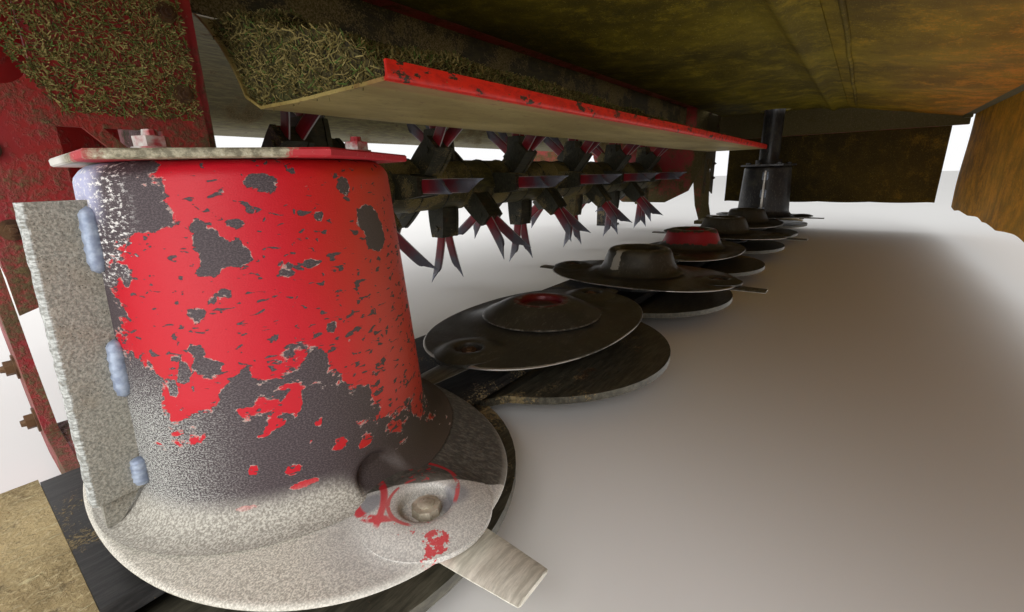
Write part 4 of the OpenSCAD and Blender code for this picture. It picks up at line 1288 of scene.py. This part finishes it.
def cloth(name, body, finish, rows, thickness, replaced, hole=None):
    """A sheet of cloth through rows of points, given its thickness."""
    points, faces = skin(rows, open_ends=True)
    if hole:
        centre, radius = hole
        faces = [face for face in faces
                 if (sum((points[i] for i in face), Vector()) / 4 - centre).xy.length
                 > radius]
    made = raw_piece(name, (points, faces))
    merged(made.data, 1e-5)
    made.data.materials.append(finish)
    thick = made.modifiers.new("thickness", "SOLIDIFY")
    thick.thickness = thickness
    thick.offset = 0
    thick.use_even_offset = True
    evaluated(made)
    smoothed(made, 60)
    if replaced:
        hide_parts(*replaced)
    if body:
        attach(made, body)
    return made


def between(x, stops):
    """0 at each stop and 1 midway between neighbours."""
    for a, b in zip(stops, stops[1:]):
        if a <= x <= b:
            return sin(pi * (x - a) / (b - a)) ** 2
    return 0.0


RIBS = [-1.48, -1.08, -0.54, 0.0, 0.54, 1.08, 1.48]
ARMS = [-1.474, -0.81, -0.27, 0.27, 0.81, 1.474]


def taut_rows(steps, stops, front, deep, high, fall, sag, crease):
    """Rows of a cloth held at its edges and at the stops, sagging between them."""
    wave, seed, lift, most = crease
    rows = []
    for i in range(steps + 1):
        y = front + deep * i / steps
        hold = sin(pi * i / steps) ** 0.6 if 0 < i < steps else 0.0
        rows.append([at(x, y, high - fall * i / steps - sag * between(x, stops) * hold
                        + min(noise.noise(Vector((x * 5, y * wave, seed))) * lift * hold,
                              most))
                     for x in spaced(stops[0], stops[-1], 170)])
    return rows


def roof_cloth():
    """Cloth under the ribs, sagging between them and cut out round the drive shaft."""
    shaft = disc_axis(7)
    rows = taut_rows(32, RIBS, -0.2895, 0.4935, 0.6172, 0.0, 0.013, (9, 1, 0.0045, 0.0006))
    for point in (point for row in rows for point in row):
        away = (point - shaft).xy
        if away.length < 0.085:
            wide = 0.074 + away.length * 0.13
            point.x, point.y = (shaft.xy + away.normalized() * wide)[:]
    cloth("roof_cloth", "header", ROOF_CLOTH, rows, 0.003,
          ("roof_cover",), (shaft, 0.07))


def guard_cloth():
    """Cloth under the arms of the front guard, with a padded seam sewn along it."""
    rows = taut_rows(30, ARMS, 0.272, 0.448, 0.6117, 0.0836, 0.012, (8, 7, 0.004, 0.0))
    cloth("guard_cloth", "front_guard", GUARD_CLOTH, rows, 0.003,
          ("front_guard_top",))
    path = [at(x, 0.331 + noise.noise(Vector((x * 4, 0, 3))) * 0.004,
               0.5978 - 0.0072 * between(x, ARMS)) for x in spaced(-1.455, 1.455, 280)]
    piece("guard_seam", "front_guard", ROOF_CLOTH, bead(path, 0.0055), (), 60)


def hinge_flap():
    """Strip under the hinge tube that joins the two cloths."""
    path = [(0.186, 0.6128), (0.196, 0.6118), (0.206, 0.6092), (0.214, 0.6066),
            (0.2185, 0.6052), (0.2245, 0.6005), (0.230, 0.5968), (0.2365, 0.5952),
            (0.243, 0.5968), (0.2485, 0.6005), (0.254, 0.6035), (0.260, 0.604),
            (0.268, 0.6043), (0.278, 0.6044), (0.288, 0.6034), (0.298, 0.6018)]
    rows = [[at(x, y, z - 0.0012 + noise.noise(Vector((k * 0.6, y * 30, 2))) * 0.0008)
             for k, x in enumerate(spaced(-1.47, 1.47, 98))] for y, z in path]
    flap = cloth("hinge_flap", None, ROOF_CLOTH, rows, 0.002,
                 ())
    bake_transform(flap)


def front_curtain_cloth():
    """Front curtain: held straight on its bar, waving towards a scalloped hem."""
    bar = 0.5695
    rows = []
    for s in spaced(0, 1, 28):
        free = rise(s, 0.12, 1.0)
        row = []
        for x in spaced(-1.478, 1.478, 260):
            wave = sin(x * 11 + 1.3 * sin(x * 3.1)) * 0.0055
            wave += noise.noise(Vector((x * 3, s * 2, 5))) * 0.008
            hem = 0.118 + 0.006 * abs(sin(x * 11.5)) + 0.003 * noise.noise(
                Vector((x * 9, 0, 0)))
            z = bar + (hem - bar) * s
            flare = 0.036 * rise(-x, 1.30, 1.478) * rise(0.49 - z, 0, 0.3)
            row.append(at(x - flare, 0.7622 + wave * free, z))
        rows.append(row)
    cloth("front_curtain_cloth", "front_guard", CURTAIN, rows, 0.0028,
          ("front_curtain",))


def side_curtain_cloth(side, word, finish, swing):
    """Side curtain on its bar, folded up over the rail by the angle swing."""
    pivot = Vector((side * 1.538, LINE_Y, 0.51))
    fold = Matrix.Rotation(radians(swing), 3, "Y")
    rows = []
    for s in spaced(0, 1, 22):
        free = rise(s, 0.1, 1.0)
        row = []
        for y in spaced(-0.25, 0.70, 100):
            wave = (0.5 + 0.5 * sin(y * 23 + 1.1 * sin(y * 5))) * 0.008
            wave += (noise.noise(Vector((y * 4, s * 2, 8))) + 0.4) * 0.003
            hang = 0.0095 + (0.358 + 0.004 * abs(sin(y * 14))) * s
            row.append(pivot + fold @ Vector((side * wave * free, y, -hang)))
        rows.append(row)
    cloth(f"side_curtain_cloth_{word}", f"side_guard_{word}", finish, rows, 0.0028,
          (f"side_curtain_{word}",))


# Fasteners and small fittings that the CAD leaves out

# For each end of the header: name, side that faces out, size, and the bolts' places as
# (x outwards, y from the disc line, z)
END_BOLTS = [
    ("side_plate_bolts", None, (0.0075, 0.006, 0.012),
     [(1.206, y, z) for y, z in (
         (-0.34, 0.50), (-0.40, 0.585), (-0.49, 0.61), (-0.58, 0.61), (-0.68, 0.585),
         (-0.78, 0.545), (-0.88, 0.485), (-0.90, 0.29), (-0.78, 0.185), (-0.40, 0.235))]),
    ("panel_bolts", (0, 1, 0), (0.007, 0.006, 0.011),
     [(x, PANEL_Y, z) for x, z in (
         (1.225, 0.615), (1.225, 0.52), (1.405, 0.62), (1.405, 0.56), (1.225, 0.43),
         (1.408, 0.36), (1.408, 0.28), (1.224, 0.25))]),
    ("beam_end_bolts", None, (0.009, 0.008, 0.014),
     [(1.52, -0.355 + a * 0.045, 0.71 + b * 0.04) for a in (-1, 1) for b in (-1, 1)]),
    ("end_frame_bolts", None, (0.009, 0.008, 0.015),
     [(1.436, y, z) for y, z in ((-0.315, 0.62), (-0.40, 0.62), (-0.315, 0.54),
                                 (-0.40, 0.54), (-0.36, 0.12), (-0.33, 0.06))])]
ROOF_RIBS = RIBS[1:-1]
RIB_TOP = 0.644
HUB_TOP = 0.063
GEARBOX_Z = 0.848


def fittings():
    """Bolts on the flanges, panels, cloths and housings."""
    for side, word in ((1, "right"), (-1, "left")):
        out = (side, 0, 0)
        bolts(f"bearing_bolts_{word}", "header",
              [(p, out) for p in rotor_ring(side * 1.218, 0.060, 4, pi / 4)],
              (0.007, 0.007, 0.0105), RUSTY)
        for name, aim, size, places in END_BOLTS:
            bolts(f"{name}_{word}", "header",
                  [(at(side * x, y, z), aim or out) for x, y, z in places], size, RUSTY)
    flange = []
    for y, aim in ((-0.238, 1), (-0.472, -1)):
        for k in range(6):
            t = k * pi / 3 + 0.3
            flange.append((at(0.050 * cos(t), y, GEARBOX_Z + 0.050 * sin(t)),
                           (0, aim, 0)))
    flange += [(at(x, y, 0.784), UP) for x in (-0.125, 0.125) for y in (-0.42, -0.29)]
    flange += [(at(x, y, 0.928), UP) for x in (-0.075, 0.075)
               for y in (-0.43, -0.355, -0.28)]
    belt = [(at(1.404, -0.585 + 0.077 * (k / 6) + edge * (0.098 - 0.028 * k / 6),
                0.30 + 0.085 * k), (1, 0, 0)) for k in range(7) for edge in (-1, 1)]
    curtain = [(at(x, 0.7642, 0.553), (0, 1, 0)) for x in spaced(-1.42, 1.42, 12)]
    ribs = [(at(x, y, RIB_TOP), UP) for x in ROOF_RIBS for y in (-0.2, 0.0, 0.17)]
    hubs = [spot for n in range(1, 8)
            for spot in ring_up(disc_axis(n) + Vector((0, 0, HUB_TOP)), 0.079, 6, 0.26)]
    for name, body, spots, size, finish in (
            ("gearbox_bolts", "header", flange, (0.0065, 0.0065, 0.0105), ZINC),
            ("drive_lid_bolts", "header", ring_up(at(-1.29, 0, 0.808), 0.064, 6),
             (0.0065, 0.0065, 0.0105), ZINC),
            ("belt_guard_bolts", "header", belt, (0.006, 0.005, 0.010), ZINC),
            ("curtain_bolts", "front_guard", curtain, (0.0065, 0.005, 0.015), ZINC),
            ("roof_bolts", "header", ribs, (0.006, 0.005, 0.0115), ZINC),
            ("hub_bolts", "header", hubs, (0.0055, 0.005, 0.0085), RUSTY)):
        bolts(name, body, spots, size, finish)


def frame_welds():
    """Upright welds where ribs and hitch lugs meet the beam."""
    seams = []
    for xs, half, y, low, high, steps in (
            (ROOF_RIBS, 0.0155, -0.2895, 0.652, 0.668, 3),
            ((-0.448, -0.372, 0.372, 0.448), 0.0105, -0.4205, 0.658, 0.762, 26)):
        seams += [bead([at(x + edge, y, z) for z in spaced(low, high, steps)], 0.0035)
                  for x in xs for edge in (-half, half)]
    piece("hitch_welds", "header", FRAME_RED, together(*seams), (), 60)


def camera():
    """The photograph's viewpoint, low inside the open right end."""
    yaw, pitch, roll = -0.6554, 0.2827, 0.0284
    forward = Vector((-cos(yaw) * cos(pitch), sin(yaw) * cos(pitch), -sin(pitch)))
    right = forward.cross(Vector(UP)).normalized()
    down = forward.cross(right)
    across = cos(roll) * right + sin(roll) * down
    below = -sin(roll) * right + cos(roll) * down
    data = bpy.data.cameras.new("camera")
    data.lens = 15.66
    data.sensor_width = 36
    data.clip_start = 0.01
    made = link(data, "camera")
    axes = Matrix((across, -below, -forward)).transposed().to_4x4()
    made.matrix_world = Matrix.Translation((1.4666, 0.7187, 0.3193)) @ axes
    bpy.context.scene.camera = made


def lamp(name, place, aim, size, power):
    data = bpy.data.lights.new(name, "AREA")
    data.shape = "RECTANGLE"
    data.size, data.size_y = size
    data.energy = power
    made = link(data, name)
    made.location = place
    made.rotation_mode = "QUATERNION"
    made.rotation_quaternion = (Vector(aim) - Vector(place)).to_track_quat("-Z", "Y")
    made.visible_camera = False


def studio():
    """Pale floor, white surroundings and soft lamps that also reach under the guards."""
    corners = [Vector((x, y, 0)) for x, y in ((-30, -30), (30, -30), (30, 30), (-30, 30))]
    floor = raw_piece("floor", (corners, [(0, 1, 2, 3)]))
    floor.data.materials.append(floor_finish())
    world = bpy.data.worlds.new("surroundings")
    bpy.context.scene.world = world
    world.use_nodes = True
    sky = Nodes()
    sky.tree = world.node_tree
    sky.tree.nodes.clear()
    seen = sky.node("ShaderNodeLightPath")
    direct = seen.part("Is Camera Ray").most(seen.part("Is Glossy Ray")).most(
        seen.part("Is Transmission Ray"))
    glow = sky.node("ShaderNodeBackground", None, {"Color": (1, 1, 1, 1), "Strength": 0.75})
    white = sky.node("ShaderNodeBackground", None, {"Color": (1, 1, 1, 1)})
    blend = sky.node("ShaderNodeMixShader", None, {0: direct, 1: glow, 2: white})
    out = sky.tree.nodes.new("ShaderNodeOutputWorld")
    sky.tree.links.new(blend.socket, out.inputs["Surface"])
    lamp("key", (3.9, 2.25, 2.8), (1.2, 0.3, 0.25), (2.5, 2.5), 110)
    lamp("low_fill", (3.4, 0.9, 0.35), (1.0, 0.3, 0.2), (1.6, 0.6), 14)
    lamp("floor_bounce", (0.1, LINE_Y + 0.46, 0.02), (0.1, LINE_Y + 0.44, 1.0),
         (2.7, 0.5), 3.5)
    lamp("rear_fill", (0.5, -4.0, 2.0), (0.0, 0.0, 0.3), (4.0, 2.0), 80)


# Finishes, made before the pieces that wear them
FRAME_RED = painted("frame_red", dirt="4a4019")
NEAR_RED = painted("end_plate_red", red="8c2430", dirt="5a4a30", grime=0.3)
LUG = bare_iron("lug_black", "242419", "42412e", mud="6a6338", metal=0.1)
WORN_STEEL = bare_iron("worn_steel", "55524c", "8b877e", muddy=0.2, metal=0.7)
KNIFE = bare_iron("knife_steel", "bcb7a8", "e8e3d4", muddy=0.0, metal=0.2, rough=0.42)
DARK_KNIFE = bare_iron("dark_knife_steel", "4c483f", "7a7467", muddy=0.2, metal=0.25,
                       rough=0.45)
HOOD = bare_iron("hood_sheet", "6a6240", "8f8758", mud="5d5230", metal=0.1)
BLACK_DISC = black_plate("disc_black")
BLACK_DRUM = black_plate("drum_black", base="232122", dusty="4f4a3b")
CAP_BLACK = black_plate("cap_black")
WELD = weld_finish()
RUSTY = bolt_finish("rusty_bolt", "4a3222", "6d5238")
ZINC = bolt_finish("zinc_bolt", "8d8b85", "b2afa8")
CHAFF = chaff_finish()
ROOF_CLOTH = tarpaulin("roof_tarpaulin", "3e3506", "6a5c0a", "8f7d1c", "a86a12",
                       (LINE_Y + 0.1, LINE_Y + 1.0))
GUARD_CLOTH = tarpaulin("guard_tarpaulin", "4c3e06", "7a660a", "9a8018", "bd6c0c",
                        (LINE_Y + 0.25, LINE_Y + 0.8))
CURTAIN = tarpaulin("curtain_tarpaulin", "54400a", "8a6a0c", "a98416", "c07f14",
                    (LINE_Y - 0.5, LINE_Y + 1.1), (1.2, 1, 0.9))
# Painted shade: the far side curtain is a darker copy of the curtain cloth, standing in for
# the shade it hangs in.
SHADED_FAR_CLOTH = tarpaulin("side_tarpaulin", "1f1a05", "3a2e08", "55440f", "946a18",
                      (LINE_Y - 0.3, LINE_Y + 2.0))

# Finishes of the CAD nodes that stay: by slot, and by node where one differs
NODE_SLOT = {part["node"]: part["material_slot"] for part in frame["record"]["subparts"]}
SLOT_FINISH = {
    "bar_steel": bare_iron("bar_steel", "1d1c1b", "3b3937", muddy=0.3, mud="4f4630",
                           metal=0.45),
    "worn_steel": WORN_STEEL,
    "red_paint": painted("guard_red", red="a3191d", grime=0.15, gloss=0.36),
    "dull_red_paint": FRAME_RED,
    "black_paint": painted("bearing_black", red="1b1a19", dirt="4a412d", rust="4f2f1c",
                           grime=0.35),
    "knife_steel": KNIFE,
    "tarpaulin": ROOF_CLOTH,
    "rotor_paint": bare_iron("rotor_olive", "363116", "565023", muddy=0.5, mud="6e6530",
                             metal=0.1),
    "tine_paint": LUG,
    "sheet_steel": HOOD,
    "muddy_steel": caked_mud(),
    "gearbox_iron": bare_iron("cast_iron", "3a3a38", "5f5e5a", metal=0.35)}
NODE_FINISH = {
    "skid_plates": bare_iron("skid_steel", "37342a", "5c584a", muddy=0.25, mud="7a6c48",
                             metal=0.25, rough=0.45),
    "end_frame_right": NEAR_RED,
    "side_plate_right": NEAR_RED,
    "end_panel_right": NEAR_RED,
    "drum_head_left": BLACK_DRUM,
    "rear_wall": bare_iron("rear_wall_grime", "2c260d", "463d16", muddy=0.5, mud="5a4f22",
                           metal=0.0, rough=0.7),
    "input_shaft": WORN_STEEL}
for name, made in frame["nodes"].items():
    made.data.materials.clear()
    made.data.materials.append(NODE_FINISH.get(name) or SLOT_FINISH[NODE_SLOT[name]])

BOLTS = bolt_tree()
CLIPPINGS = clipping_tree()

END_DISC = worn_plate(knife_spots(1)[0])
SEAT_BOLT = bolt_finish("seat_bolt", "a39a86", "cfc6b2")
# The end disc's painted sunlight and shadow.
marked(disc_piece(1, END_DISC), "dust", sunlit_side)
for n in range(2, 8):
    disc_piece(n, BLACK_DISC)
for n in range(1, 8):
    near = n == 1
    seat_pieces(n, END_DISC if near else BLACK_DISC, SEAT_BOLT if near else RUSTY)
    knife_piece(n, KNIFE if near else DARK_KNIFE)
for n, finish in (
        (2, black_plate("cap_ring_worn", chips=("6e1b20", 1.1))),
        (3, black_plate("cap_bare_worn", chips=("a9a498", 1.0))),
        (4, black_plate("cap_red_worn", chips=("8c1a25", 1.4))),
        (5, CAP_BLACK), (6, CAP_BLACK)):
    cap_piece(n, finish)
end_drum()
drum_piece(7, BLACK_DRUM, "far_drum_shell", ("drum_left",))
drum_bars(7, "lift_bars_left", BLACK_DRUM)
head_plate()
rotor_pieces()
shelf_pieces()
shelf_dirt()
plate_clippings()
roof_cloth()
guard_cloth()
hinge_flap()
front_curtain_cloth()
side_curtain_cloth(1, "right", CURTAIN, -187)
side_curtain_cloth(-1, "left", SHADED_FAR_CLOTH, 0)
fittings()
frame_welds()
camera()
studio()
bpy.context.scene.view_settings.view_transform = "Standard"
